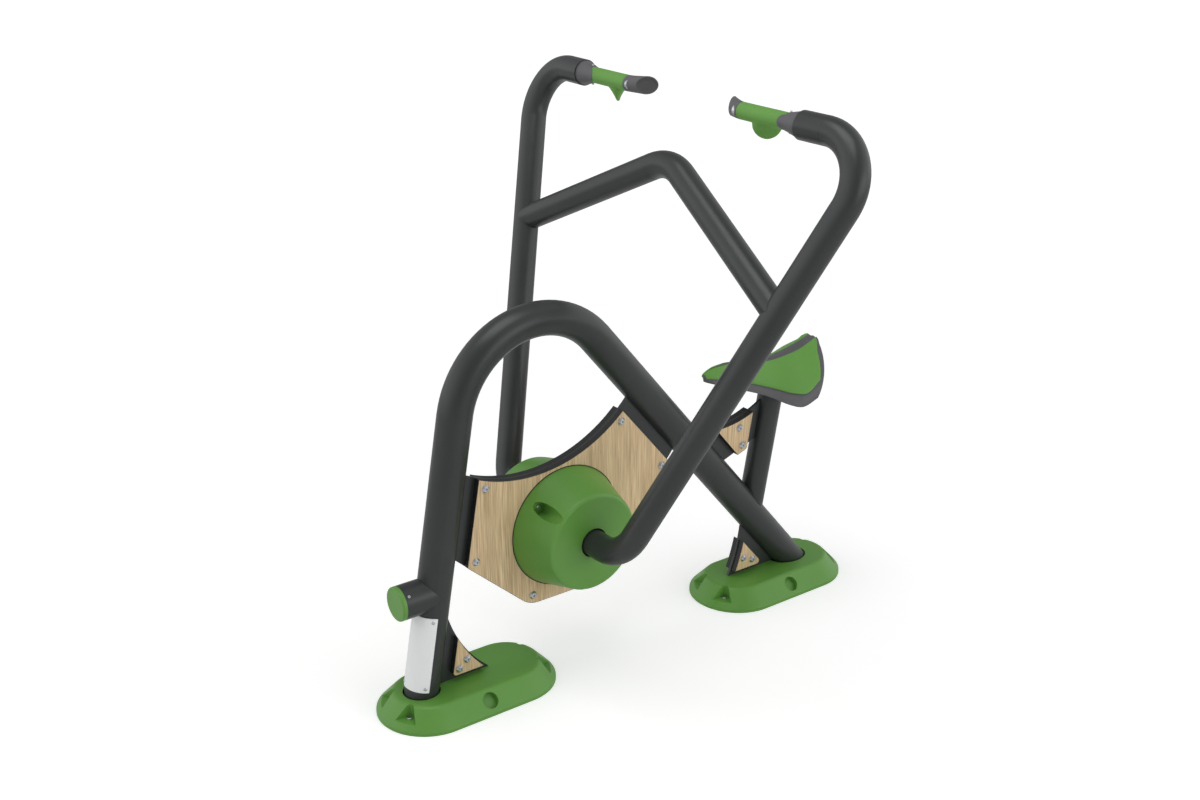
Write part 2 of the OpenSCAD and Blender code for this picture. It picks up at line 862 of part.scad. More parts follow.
// Smooth value of a table at the fraction u of its length
function smooth(t, u) =
    let (n = len(t) - 1, k = min(floor(u * n), n - 1), f = u * n - k)
    let (a = t[max(k - 1, 0)], b = t[k], c = t[k + 1], d = t[min(k + 2, n)])
    b + f * ((c - a) / 2 + f * (a - 2.5 * b + 2 * c - d / 2 + f * (1.5 * (b - c) + (d - a) / 2)));

// Angle across the saddle at column v: the channel first, then even steps to the rim
function across_angle(half, v) =
    let (edge = asin(min(channel_half / half, 0.8)))
    v < channel_cols
        ? edge * v / channel_cols
        : edge + (90 - edge) * (v - channel_cols) / (seat_cols - channel_cols);

function saddle_point(row, col) =
    let (u = row / seat_rows, half = saddle_wid / 2 * smooth(rim_y_shares, u))
    let (a = across_angle(half, abs(col)), drop = 1 - cos(a))
    let (mx = smooth(mid_x_shares, u), rx = smooth(rim_x_shares, u))
    let (mz = smooth(mid_z_shares, u), rz = smooth(rim_z_shares, u))
    [
        saddle_nose_x + saddle_len * (mx + (rx - mx) * drop),
        sign(col) * half * sin(a),
        saddle_low_z + saddle_high * (mz + (rz - mz) * drop)
    ];

// Outward direction of the surface
slope_step = 0.2;
function saddle_out(row, col) =
    let (r = min(max(row, slope_step), seat_rows - slope_step))
    let (c = min(max(col, slope_step - seat_cols), seat_cols - slope_step))
    unit(cross(
        saddle_point(r + slope_step, c) - saddle_point(r - slope_step, c),
        saddle_point(r, c + slope_step) - saddle_point(r, c - slope_step)));

function saddle_at(row, col, lift) = saddle_point(row, col) + saddle_out(row, col) * lift;

// A closed skin over a grid: outer points, inner points and the edge between
function quad(a, b, c, d) = [[a, b, c], [a, c, d]];

function grid_edge(rows, w) = concat(
    [for (j = [0:w - 1]) j],
    [for (i = [1:rows]) i * w + w - 1],
    [for (j = [1:w - 1]) rows * w + w - 1 - j],
    [for (i = [1:rows]) (rows - i) * w]);

function grid_faces(rows, cols) =
    let (w = cols + 1, inner = (rows + 1) * w, edge = grid_edge(rows, w))
    concat(
        [for (i = [0:rows - 1], j = [0:cols - 1])
            each quad(i * w + j, i * w + j + 1, (i + 1) * w + j + 1, (i + 1) * w + j)],
        [for (i = [0:rows - 1], j = [inner:inner + cols - 1])
            each quad(i * w + j, (i + 1) * w + j, (i + 1) * w + j + 1, i * w + j + 1)],
        [for (k = [0:len(edge) - 2])
            each quad(edge[k], inner + edge[k], inner + edge[k + 1], edge[k + 1])]);

// Underside: a flat belly over the saddle plate that falls to the rim along both sides
belly_rise_shares = [0.34, 0.25, 0.14, 0, 0, 0, 0, 0, 0.25];
belly_width_share = 0.72;
seat_plate_t = 6;
seat_plate_edge = 14;        // plate beyond its screws
seat_screw_x = 43;           // screws ahead of and behind the post's upper end
seat_screw_y = 20;
seat_screw_len = 22;

function straight(t, u) =
    let (n = len(t) - 1, k = min(floor(u * n), n - 1))
    t[k] + (t[k + 1] - t[k]) * (u * n - k);

function belly_point(row, col) =
    let (u = row / seat_rows, top = saddle_point(row, col), rim = saddle_point(row, seat_cols))
    let (flat_z = post_top_z + seat_plate_t + saddle_high * straight(belly_rise_shares, u))
    let (out = abs(top[1]) / rim[1], fall = max(out - belly_width_share, 0))
    [
        top[0],
        top[1] * (rim[1] - min(shell_t, rim[1] / 2)) / rim[1],
        flat_z + (rim[2] - flat_z) * pow(fall / (1 - belly_width_share), 2)
    ];

module seat_screw_places() {
    for (dx = [-seat_screw_x, seat_screw_x])
        for (dy = [-seat_screw_y, seat_screw_y])
            translate([post_top[0] + dx, dy, post_top_z])
                children();
}

module seat_shell() {
    color(grey_plastic)
        difference() {
            polyhedron(
                concat(
                    [for (i = [0:seat_rows], j = [-seat_cols:seat_cols]) saddle_point(i, j)],
                    [for (i = [0:seat_rows], j = [-seat_cols:seat_cols]) belly_point(i, j)]),
                grid_faces(seat_rows, 2 * seat_cols));
            seat_screw_places()
                cylinder(h = seat_screw_len + over, r = screw_hole_r);
        }
}

module seat_plate() {
    color(anthracite)
        difference() {
            translate([post_top[0], 0, post_top_z])
                linear_extrude(seat_plate_t)
                    let (x = seat_screw_x + seat_plate_edge, y = seat_screw_y + seat_plate_edge)
                    polygon(rounded([[-x, -y], [x, -y], [x, y], [-x, y]],
                        [for (i = [0:3]) seat_plate_edge / 2]));
            seat_screw_places()
                translate([0, 0, -over])
                    cylinder(h = seat_plate_t + 2 * over, r = screw_hole_r);
        }
}

// A screw pointing down into z < 0, with a rounded head on z = 0
module pan_screw(length) {
    difference() {
        rotate_extrude()
            polygon(rounded(
                [[0, -length], [screw_r, -length], [screw_r, 0], [screw_head_r, 0],
                 [screw_head_r, screw_head_h], [0, screw_head_h]],
                [0, 0, 0, 0, screw_head_h / 2, 0]));
        translate([0, 0, screw_head_h / 2])
            cylinder(h = screw_head_h, r = screw_r / 2, $fn = 6);
    }
}

module seat_bolts() {
    color(steel)
        seat_screw_places()
            mirror([0, 0, 1])
                pan_screw(seat_screw_len);
}

// Pads: the same grid between the channel and the bare rim, swollen to a crown
pad_first_row = 1;
pad_last_row = seat_rows - 1;
pad_edge_share = 0.3;

function bulge(f) = pow(max(sin(180 * f), 0), 0.45);

function pad_lift(i, j) =
    let (along = (i - pad_first_row) / (pad_last_row - pad_first_row))
    let (side = (j - channel_cols) / (seat_cols - rim_cols - channel_cols))
    seat_gap + (pad_t - seat_gap)
        * (pad_edge_share + (1 - pad_edge_share) * bulge(along) * bulge(side));

module seat_pad_right() {
    cols = seat_cols - rim_cols - channel_cols;
    color(moulded_green)
        polyhedron(
            concat(
                [for (i = [pad_first_row:pad_last_row], j = [0:cols])
                    saddle_at(i, channel_cols + j, pad_lift(i, channel_cols + j))],
                [for (i = [pad_first_row:pad_last_row], j = [0:cols])
                    saddle_at(i, channel_cols + j, seat_gap)]),
            grid_faces(pad_last_row - pad_first_row, cols));
}

module seat_pad_left() {
    mirror([0, 1, 0])
        seat_pad_right();
}

// Feet: a steel base plate on the ground under a moulded cover.
// The covers are long round-ended shells with sloping sides.
base_inset = 25;             // base plate inside the cover's outline
foot_rim_r = 14;             // rounding of the upper rim
foot_edge_r = 4;
tube_gap = 3;                // around the leg where it passes through the cover

// Screw pockets: wedges that open outward at both ends, on both sides
pocket_turn = 30;            // from the foot's long axis, about the end's centre
pocket_reach = 66;           // from the end's centre to the wedge's inner corner
pocket_half_angle = 36;
pocket_corner_r = 7;
pocket_floor_z = 20;
pocket_screw_reach = 82.5;
foot_boss_r = 8;

// Half of the cover's section: from the middle out to the edge, shrunk by a wall
function foot_section(wall) =
    let (edge = foot_half - wall, slant = foot_high - wall)
    rounded(
        [[0, -over * (wall > 0 ? 1 : 0)], [edge, -over * (wall > 0 ? 1 : 0)], [edge, foot_edge],
         [edge - foot_slope, slant], [0, slant]],
        [0, 0, foot_edge_r, foot_rim_r, 0]);

module foot_form(wall) {
    for (end = [-1, 1])
        translate([end * foot_end, 0, 0])
            rotate([0, 0, end > 0 ? -90 : 90])
                rotate_extrude(angle = 180)
                    polygon(foot_section(wall));
    translate([foot_end, 0, 0])
        rotate([90, 0, -90])
            linear_extrude(2 * foot_end) {
                polygon(foot_section(wall));
                mirror([1, 0])
                    polygon(foot_section(wall));
            }
}

module pocket_places() {
    for (end = [0, 180])
        for (side = [-1, 1])
            rotate([0, 0, end])
                translate([foot_end, 0, 0])
                    rotate([0, 0, side * pocket_turn])
                        children();
}

// A wedge that opens outward from its inner corner
module pocket_wedge(grow, low_z) {
    reach = pocket_reach - grow / sin(pocket_half_angle);
    far = foot_half + foot_slope;
    spread = (far - reach) * tan(pocket_half_angle);
    translate([0, 0, low_z])
        linear_extrude(foot_high)
            polygon(rounded([[reach, 0], [far, -spread], [far, spread]],
                [pocket_corner_r + grow, 0, 0]));
}

// The round recess in the middle of each long side, square to the slope
slope_rise = foot_high - foot_edge;
foot_hole_z = foot_edge + slope_rise / 2;
foot_hole_y = foot_half - foot_slope / 2;
foot_hole_tilt = atan2(foot_slope, slope_rise);
foot_hole_depth = 13;

module foot_hole_places() {
    for (side = [-1, 1])
        translate([0, side * foot_hole_y, foot_hole_z])
            rotate([side * (foot_hole_tilt - 90), 0, 0])
                children();
}

module foot_cover() {
    difference() {
        foot_form(0);
        difference() {
            foot_form(cover_wall);
            pocket_places()
                pocket_wedge(cover_wall, pocket_floor_z - cover_wall);
            pocket_places()
                translate([pocket_screw_reach, 0, base_t + seat_gap])
                    cylinder(h = foot_high, r = foot_boss_r);
            foot_hole_places()
                translate([0, 0, -foot_hole_depth - cover_wall])
                    cylinder(h = foot_high, r = foot_hole_r + cover_wall);
        }
        pocket_places()
            pocket_wedge(0, pocket_floor_z);
        foot_screw_places()
            translate([0, 0, -over])
                cylinder(h = foot_high, r = screw_hole_r);
        foot_hole_places()
            translate([0, 0, -foot_hole_depth])
                cylinder(h = foot_high, r = foot_hole_r);
    }
}

module foot_screw_places() {
    pocket_places()
        translate([pocket_screw_reach, 0, 0])
            children();
}

module base_plate() {
    x = foot_len / 2 - base_inset;
    y = foot_half - base_inset;
    difference() {
        union() {
            for (end = [-1, 1])
                translate([end * foot_end, 0, 0])
                    cylinder(h = base_t, r = y);
            translate([-foot_end, -y, 0])
                cube([2 * foot_end, 2 * y, base_t]);
        }
        for (dx = [-anchor_len / 2, anchor_len / 2])
            for (dy = [-anchor_wid / 2, anchor_wid / 2])
                translate([dx, dy, -over])
                    cylinder(h = base_t + 2 * over, r = anchor_r);
        foot_screw_places()
            translate([0, 0, -over])
                cylinder(h = base_t + 2 * over, r = screw_hole_r);
    }
}

module front_base_plate() {
    color(anthracite)
        translate([-foot_mid, 0, 0])
            base_plate();
}

module rear_base_plate() {
    color(anthracite)
        translate([foot_mid, 0, 0])
            base_plate();
}

module cover_on_leg(x, leg_end) {
    color(moulded_green)
        difference() {
            translate([x, 0, 0])
                foot_cover();
            rod(leg_end, main_path[1], main_r + tube_gap);
        }
}

module front_foot_cover() {
    cover_on_leg(-foot_mid, main_path[0]);
}

module rear_foot_cover() {
    cover_on_leg(foot_mid, main_path[2]);
}

module foot_screws() {
    color(steel)
        for (x = [-foot_mid, foot_mid])
            translate([x, 0, 0])
                foot_screw_places()
                    translate([0, 0, pocket_floor_z])
                        pan_screw(pocket_floor_z - over);
}

// Pivot: a bearing housing through the web, a turned axle, and everything on it.
// Own Z of pivot_place runs along the axle toward the given side.
hub_od = 76.1;
hub_r = hub_od / 2;
hub_half = 72;
bearing_out_r = 31;
bearing_in_r = 15;
bearing_w = 16;
bearing_low = 52;            // inner face of each bearing from the middle
bearing_race = 5.5;          // thickness of each ring
bearing_balls_n = 9;
groove_gap = 0.05;
hub_shoulder_r = 28;
ring_t = 1.5;
ring_depth = 1.2;
axle_r = bearing_in_r - fit_gap;
axle_shoulder_r = 18;
axle_half = 138;
hub_in_half = 88;            // inner faces of the arm hubs
arm_inner_half = 96;         // inner ends of the arm tubes
arm_plug_end = 136;
arm_pin_r = 5;
arm_pin_half = 112;

module pivot_place(side) {
    translate([pivot[0], 0, pivot[1]])
        rotate([side < 0 ? 90 : -90, 0, 0])
            children();
}

// A ring about the axle on one side, between two distances from the middle
module pivot_ring(side, low, high, in_r, out_r) {
    pivot_place(side)
        rotate_extrude()
            translate([in_r, low])
                square([out_r - in_r, high - low]);
}

module hub_housing() {
    color(anthracite)
        difference() {
            pivot_place(1)
                translate([0, 0, -hub_half])
                    cylinder(h = 2 * hub_half, r = hub_r);
            pivot_place(1)
                translate([0, 0, -hub_half])
                    cylinder(h = 2 * hub_half, r = hub_shoulder_r);
            for (side = [-1, 1]) {
                pivot_ring(side, bearing_low, hub_half + over, 0, bearing_out_r + fit_gap);
                pivot_ring(side, bearing_low + bearing_w, bearing_low + bearing_w + ring_t + fit_gap,
                    0, bearing_out_r + ring_depth);
            }
        }
}

ball_circle_r = (bearing_out_r + bearing_in_r) / 2;
ball_r = (bearing_out_r - bearing_in_r) / 2 - bearing_race + ring_depth;

module ball_groove(side) {
    pivot_place(side)
        translate([0, 0, bearing_low + bearing_w / 2])
            rotate_extrude()
                translate([ball_circle_r, 0])
                    circle(r = ball_r + groove_gap);
}

module bearing_rings(in_r, out_r) {
    color(steel)
        for (side = [-1, 1])
            difference() {
                pivot_ring(side, bearing_low, bearing_low + bearing_w, in_r, out_r);
                ball_groove(side);
            }
}

module bearing_outer_rings() {
    bearing_rings(bearing_out_r - bearing_race, bearing_out_r);
}

module bearing_inner_rings() {
    bearing_rings(bearing_in_r, bearing_in_r + bearing_race);
}

module bearing_balls() {
    color(steel)
        for (side = [-1, 1])
            for (i = [0:bearing_balls_n - 1])
                pivot_place(side)
                    rotate([0, 0, 360 * i / bearing_balls_n])
                        translate([ball_circle_r, 0, bearing_low + bearing_w / 2])
                            sphere(r = ball_r);
}

module retaining_rings() {
    low = bearing_low + bearing_w;
    color(steel)
        for (side = [-1, 1])
            difference() {
                pivot_ring(side, low, low + ring_t, hub_shoulder_r,
                    bearing_out_r + ring_depth - fit_gap);
                pivot_place(side)
                    translate([hub_shoulder_r / 2, -bearing_race, low - over])
                        cube([bearing_out_r, 2 * bearing_race, ring_t + 2 * over]);
            }
}

module axle() {
    color(steel)
        difference() {
            union() {
                pivot_place(1)
                    translate([0, 0, -axle_half])
                        cylinder(h = 2 * axle_half, r = axle_r);
                pivot_place(1)
                    translate([0, 0, -bearing_low])
                        cylinder(h = 2 * bearing_low, r = axle_shoulder_r);
            }
            arm_pin_holes();
        }
}

module arm_pin_places() {
    for (side = [-1, 1])
        translate([pivot[0], side * arm_pin_half, pivot[1]])
            rotate([0, arm_rake, 0])
                children();
}

module arm_pin_holes() {
    arm_pin_places()
        translate([0, 0, -arm_od])
            cylinder(h = 2 * arm_od, r = arm_pin_r + fit_gap);
}

module arm_pins() {
    pin_half = arm_r - over;
    color(steel)
        arm_pin_places()
            translate([0, 0, -pin_half])
                cylinder(h = 2 * pin_half, r = arm_pin_r);
}

module arm_hubs() {
    color(anthracite)
        difference() {
            for (side = [-1, 1]) {
                pivot_ring(side, hub_in_half, arm_inner_half, bearing_in_r, arm_r);
                pivot_ring(side, arm_inner_half, arm_plug_end, bearing_in_r,
                    arm_bore_r - fit_gap);
            }
            arm_pin_holes();
        }
}

// Stops: a lever on the axle swings between two rubber buffers, inside the left cover
lever_low = 74;
lever_high = 86;
lever_hub_r = 25;
lever_half = 9;
lever_reach = 84;
buffer_reach = 70;
buffer_r = 11;
buffer_len = 14;
upright_t = 8;
upright_half = 13;
flange_gap = 5;
rim_gap = 2;
flange_r = scoop_reach - scoop_r - cover_wall - flange_gap;
flange_t = 6;
inner_head_r = 7;
inner_bolt_reach = flange_r - inner_head_r - rim_gap;
inner_bolt_turn = scoop_turn + 60;
stop_mid_turn = -90;
rest_turn = stop_mid_turn - press_travel / 2;
end_turn = stop_mid_turn + press_travel / 2;

cover_screw_spots = [for (i = [0:2])
    pivot + scoop_reach * [cos(scoop_turn + 120 * i), sin(scoop_turn + 120 * i)]];
inner_bolt_spots = [for (i = [0:2])
    pivot + inner_bolt_reach * [cos(inner_bolt_turn + 120 * i), sin(inner_bolt_turn + 120 * i)]];

// Own X outward from the axle at a side-view angle, own Y on round, own Z toward the left
module at_turn(turn) {
    translate([pivot[0], 0, pivot[1]])
        rotate([90, 0, 0])
            rotate([0, 0, turn])
                children();
}

module stop_lever() {
    color(anthracite)
        difference() {
            union() {
                at_turn(rest_turn)
                    translate([0, 0, bearing_low + bearing_w])
                        cylinder(h = hub_in_half - bearing_low - bearing_w, r = lever_hub_r);
                at_turn(rest_turn)
                    translate([0, -lever_half, lever_low])
                        cube([lever_reach - lever_half, 2 * lever_half, lever_high - lever_low]);
                at_turn(rest_turn)
                    translate([lever_reach - lever_half, 0, lever_low])
                        cylinder(h = lever_high - lever_low, r = lever_half);
            }
            pivot_place(-1)
                cylinder(h = hub_in_half + over, r = bearing_in_r);
        }
}

// Own Z from the lever's side face into the buffer
module buffer_place(turn, hand) {
    at_turn(turn)
        translate([buffer_reach, hand * (lever_half + seat_gap), (lever_low + lever_high) / 2])
            rotate([-90 * hand, 0, 0])
                children();
}

module stop_buffers() {
    color(black_rubber) {
        buffer_place(rest_turn, -1)
            cylinder(h = buffer_len, r = buffer_r);
        buffer_place(end_turn, 1)
            cylinder(h = buffer_len, r = buffer_r);
    }
}

module stop_upright(turn, hand) {
    off = lever_half + seat_gap + buffer_len;
    at_turn(turn)
        translate([buffer_reach - upright_half, hand > 0 ? off : -off - upright_t, web_half])
            cube([2 * upright_half, upright_t, (lever_low + lever_high) / 2 + buffer_r - web_half]);
}

module inner_flange(side) {
    difference() {
        pivot_ring(side, web_half, web_half + flange_t, hub_r + seat_gap, flange_r);
        for (p = inner_bolt_spots)
            at_side(p, side, 0)
                cylinder(h = 2 * web_half, r = bolt_hole_r);
    }
}

module stop_bracket() {
    color(anthracite) {
        inner_flange(-1);
        stop_upright(rest_turn, -1);
        stop_upright(end_turn, 1);
    }
}

// Damper: a trough of thick fluid round the hub and a skirted disc that turns in it
damper_high = 62;
damper_wall = 4;
damper_gap = 3;
damper_out_r = inner_bolt_reach - inner_head_r - damper_gap;
skirt_t = 4;
skirt_r = (hub_r + damper_out_r - skirt_t) / 2;
skirt_low = 30;
disc_low = 74;
disc_t = 8;

module damper_housing() {
    color(anthracite)
        union() {
            inner_flange(1);
            pivot_ring(1, web_half, damper_high, hub_r + seat_gap, hub_r + damper_wall);
            pivot_ring(1, web_half, damper_high, damper_out_r - damper_wall, damper_out_r);
        }
}

module damper_rotor() {
    color(anthracite)
        union() {
            pivot_ring(1, bearing_low + bearing_w, hub_in_half, bearing_in_r, lever_hub_r);
            pivot_ring(1, disc_low, disc_low + disc_t, bearing_in_r, skirt_r + skirt_t);
            pivot_ring(1, skirt_low, disc_low + disc_t, skirt_r, skirt_r + skirt_t);
        }
}

module inner_bolts() {
    length = web_half + flange_t;
    color(steel)
        for (p = inner_bolt_spots) {
            at_side(p, -1, length)
                translate([0, 0, -2 * length])
                    cylinder(h = 2 * length, r = bolt_r);
            for (side = [-1, 1])
                at_side(p, side, length)
                    cylinder(h = bolt_head_h, r = inner_head_r, $fn = 6);
        }
}

// Pivot covers: drums with a sloping side, a round opening and three screw scoops
function cover_section(wall) =
    rounded(
        [[0, wall > 0 ? -over : 0],
         [cover_base_r - wall, wall > 0 ? -over : 0],
         [cover_base_r - wall, 0],
         [cover_face_r - wall, cover_depth - wall],
         [0, cover_depth - wall]],
        [0, 0, 0, cover_edge_r - wall / 2, 0]);

module cover_form(wall) {
    rotate_extrude()
        polygon(cover_section(wall));
}

// Own Z up a scoop from its floor
module scoop_place(i) {
    rotate([0, 0, scoop_turn + 120 * i])
        translate([scoop_reach, 0, scoop_floor])
            rotate([0, scoop_tilt, 0])
                children();
}

// Built with its panel face on z = 0 and the axle on its own Z
module pivot_cover() {
    difference() {
        cover_form(0);
        difference() {
            cover_form(cover_wall);
            for (i = [0:2])
                scoop_place(i)
                    translate([0, 0, -cover_depth])
                        cylinder(h = 2 * cover_depth, r = scoop_r + cover_wall);
        }
        for (i = [0:2]) {
            intersection() {
                scoop_place(i)
                    translate([0, 0, -scoop_r])
                        cylinder(h = 2 * cover_depth, r = scoop_r);
                translate([0, 0, scoop_floor])
                    cylinder(h = 2 * cover_depth, r = 2 * cover_base_r);
            }
            rotate([0, 0, scoop_turn + 120 * i])
                translate([scoop_reach, 0, -over])
                    cylinder(h = scoop_floor + 2 * over, r = screw_hole_r);
        }
        cylinder(h = cover_depth + over, r = cover_hole_r);
    }
}

module pivot_cover_left() {
    color(moulded_green)
        translate([pivot[0], -web_half, pivot[1]])
            rotate([90, 0, 0])
                pivot_cover();
}

module pivot_cover_right() {
    mirror([0, 1, 0])
        pivot_cover_left();
}

module pivot_cover_screws() {
    color(steel)
        for (side = [-1, 1])
            for (p = cover_screw_spots)
                at_side(p, side, web_half + scoop_floor)
                    pan_screw(scoop_floor + panel_t - over);
}

// Press arm: two mirrored tubes on the axle's ends, joined by a bowed crossbar
arm_up = [tan(arm_rake), -tan(arm_splay), 1];
arm_low_corner = [pivot[0], -arm_foot_half, pivot[1]];
arm_top_corner = arm_low_corner + arm_up * arm_rise;
handle_way = [-tan(handle_sweep), 1, tan(handle_rise)];
arm_end = arm_top_corner + handle_way * (-arm_end_half - arm_top_corner[1]);
arm_path = [[pivot[0], -arm_inner_half, pivot[1]], arm_low_corner, arm_top_corner, arm_end];
arm_bends = [elbow_bend, shoulder_bend];

module arm_left() {
    color(anthracite)
        difference() {
            bent_tube(arm_path, arm_bends, arm_r, arm_wall);
            arm_pin_holes();
        }
}

module arm_right() {
    mirror([0, 1, 0])
        arm_left();
}

module crossbar() {
    joint = arm_low_corner + arm_up * crossbar_end_rise;
    crown = [pivot[0] + tan(arm_rake) * crossbar_crown_rise, 0, pivot[1] + crossbar_crown_rise];
    other = [joint[0], -joint[1], joint[2]];
    color(anthracite)
        difference() {
            bent_tube([joint, crown, other], [crossbar_bend], arm_r, arm_wall);
            both_sides()
                rod(arm_low_corner, arm_top_corner, arm_r + seat_gap);
        }
}

// Handles: own Z inward along the handle from the arm tube's end, own X forward, own Y up
bar_r = 13;
bar_hole_r = bar_r + fit_gap;
bar_disc_t = 8;
collar_plug = 16;
collar_top_r = 28;
collar_step = 0.6;           // collar's end above the grip
grip_start = 22;
grip_r = grip_od / 2;
cap_bar_len = 14;
handle_screw_r = 2;
handle_screw_head_r = 3.2;
handle_screw_at = 33;

module handle_place() {
    along(arm_end, handle_way, [-1, 0, 0])
        children();
}

module handle_bar() {
    handle_place() {
        translate([0, 0, -collar_plug - bar_disc_t])
            cylinder(h = bar_disc_t, r = arm_bore_r - fit_gap);
        translate([0, 0, -collar_plug])
            cylinder(h = collar_plug + grip_len + cap_bar_len - over, r = bar_r);
    }
}

// Children on the left and their mirror image on the right
module both_sides() {
    for (flip = [0, 1])
        mirror([0, flip, 0])
            children();
}

module handle_bars() {
    color(steel)
        both_sides()
            handle_bar();
}

module handle_screw_places() {
    for (side = [-1, 1])
        handle_place()
            translate([0, 0, handle_screw_at])
                rotate([-90 * side, 0, 0])
                    children();
}

function collar_r(z) = collar_top_r + (grip_r + collar_step - collar_top_r) * z / collar_len;

module grip_collar() {
    tip = collar_len + tongue_len;
    difference() {
        handle_place()
            intersection() {
                rotate_extrude()
                    polygon([
                        [bar_hole_r, -collar_plug], [arm_bore_r - fit_gap, -collar_plug],
                        [arm_bore_r - fit_gap, 0], [collar_top_r, 0],
                        [collar_r(collar_len), collar_len], [grip_r + collar_step, tip],
                        [grip_r + fit_gap, tip], [grip_r + fit_gap, grip_start],
                        [bar_hole_r, grip_start]
                    ]);
                union() {
                    translate([0, 0, (collar_len - collar_plug) / 2 - over])
                        cube([2 * arm_od, 2 * arm_od, collar_len + collar_plug + 2 * over],
                            center = true);
                    rotate([0, 90, 0])
                        linear_extrude(arm_od)
                            translate([-collar_len, 0])
                                intersection() {
                                    circle(r = tongue_circle_r);
                                    translate([-arm_od, -tongue_half])
                                        square([arm_od, 2 * tongue_half]);
                                }
                }
            }
        handle_screw_places()
            cylinder(h = arm_od, r = handle_screw_r + fit_gap);
    }
}
tongue_circle_r = tongue_len;
tongue_half = grip_r + collar_step;

module grip_collars() {
    color(grey_plastic)
        both_sides()
            grip_collar();
}

// Paddle: level slices, thin and round at the lower end, swelling to a root at the grip
paddle_mid = paddle_drop - paddle_r;
paddle_tip_half = 2.6;
paddle_root_half = 17;
paddle_slices = 14;
paddle_sides = 20;
paddle_top = paddle_mid - paddle_r + paddle_tip_half;

function paddle_length(d) = sqrt(max(pow(paddle_r, 2) - pow(d - paddle_mid, 2), pow(paddle_tip_half, 2)));

function paddle_half(d) =
    let (f = (d - paddle_top) / (paddle_drop - paddle_top))
    paddle_tip_half + (paddle_root_half - paddle_tip_half) * pow(max(sin(180 * pow(f, 0.55)), 0), 1.6);

function paddle_ring(d) =
    let (a = paddle_length(d), b = min(paddle_half(d), a))
    [for (i = [0:paddle_sides - 1])
        let (t = 360 * i / paddle_sides)
        let (x = a * cos(t), z = b * sin(t))
        [-paddle_back - x * sin(paddle_turn) + z * cos(paddle_turn),
         -d,
         paddle_from_end - x * cos(paddle_turn) - z * sin(paddle_turn)]];

module paddle() {
    n = paddle_sides;
    points = [for (k = [0:paddle_slices])
        each paddle_ring(paddle_top + (paddle_drop - paddle_top) * k / paddle_slices)];
    ends = [
        [for (i = [0:n - 1]) i],
        [for (i = [0:n - 1]) (paddle_slices + 1) * n - 1 - i]
    ];
    sides = [for (k = [0:paddle_slices - 1], i = [0:n - 1])
        let (a = k * n + i, b = k * n + (i + 1) % n)
        each [[a, a + n, b + n], [a, b + n, b]]];
    polyhedron(points, concat(ends, sides));
}

module grip_left() {
    color(moulded_green)
        difference() {
            handle_place() {
                translate([0, 0, grip_start])
                    cylinder(h = grip_len - grip_start, r = grip_r);
                paddle();
            }
            handle_place()
                translate([0, 0, -over])
                    cylinder(h = grip_len + 2 * over, r = bar_hole_r);
            handle_screw_places()
                cylinder(h = arm_od, r = handle_screw_r + fit_gap);
        }
}

module grip_right() {
    mirror([0, 1, 0])
        grip_left();
}

// End caps: from the grip's round end to a wider face turned forward and inward
cap_face_r = 22;
cap_face_long = 28;
cap_skin = 2;

module grip_cap() {
    handle_place()
        difference() {
            hull() {
                translate([0, 0, grip_len])
                    cylinder(h = cap_skin, r = grip_r, $fn = 32);
                translate([-grip_cap_back, 0, grip_len + grip_cap_len])
                    rotate([0, grip_cap_angle, 0])
                        linear_extrude(cap_skin)
                            scale([cap_face_long / cap_face_r, 1])
                                circle(r = cap_face_r, $fn = 32);
            }
            translate([0, 0, grip_len - over])
                cylinder(h = cap_bar_len + over, r = bar_hole_r);
        }
}

module grip_caps() {
    color(grey_plastic)
        both_sides()
            grip_cap();
}

module grip_screws() {
    top = collar_r(handle_screw_at) + over;
    color(steel)
        both_sides()
            handle_screw_places() {
                translate([0, 0, bar_hole_r])
                    cylinder(h = top - bar_hole_r, r = handle_screw_r);
                translate([0, 0, top])
                    cylinder(h = over, r1 = handle_screw_head_r, r2 = handle_screw_r);
            }
}

main_tube();
stub_tube();
stub_cap();
stub_screw();
instruction_plate();
plate_rivets();
web_plate();
web_panel_left();
web_panel_right();
front_gusset();
front_panel_left();
front_panel_right();
rear_gusset();
rear_panel_left();
rear_panel_right();
seat_bracket();
bracket_panel_left();
bracket_panel_right();
panel_bolts();
panel_nuts();
seat_post();
seat_plate();
seat_bolts();
seat_shell();
seat_pad_left();
seat_pad_right();
front_base_plate();
rear_base_plate();
front_foot_cover();
rear_foot_cover();
foot_screws();
hub_housing();
bearing_outer_rings();
bearing_balls();
retaining_rings();
pivot_cover_left();
pivot_cover_right();
pivot_cover_screws();
damper_housing();
stop_bracket();
stop_buffers();
inner_bolts();
axle();
bearing_inner_rings();
arm_hubs();
arm_pins();
stop_lever();
damper_rotor();
arm_left();
arm_right();
crossbar();
handle_bars();
grip_collars();
grip_left();
grip_right();
grip_caps();
grip_screws();
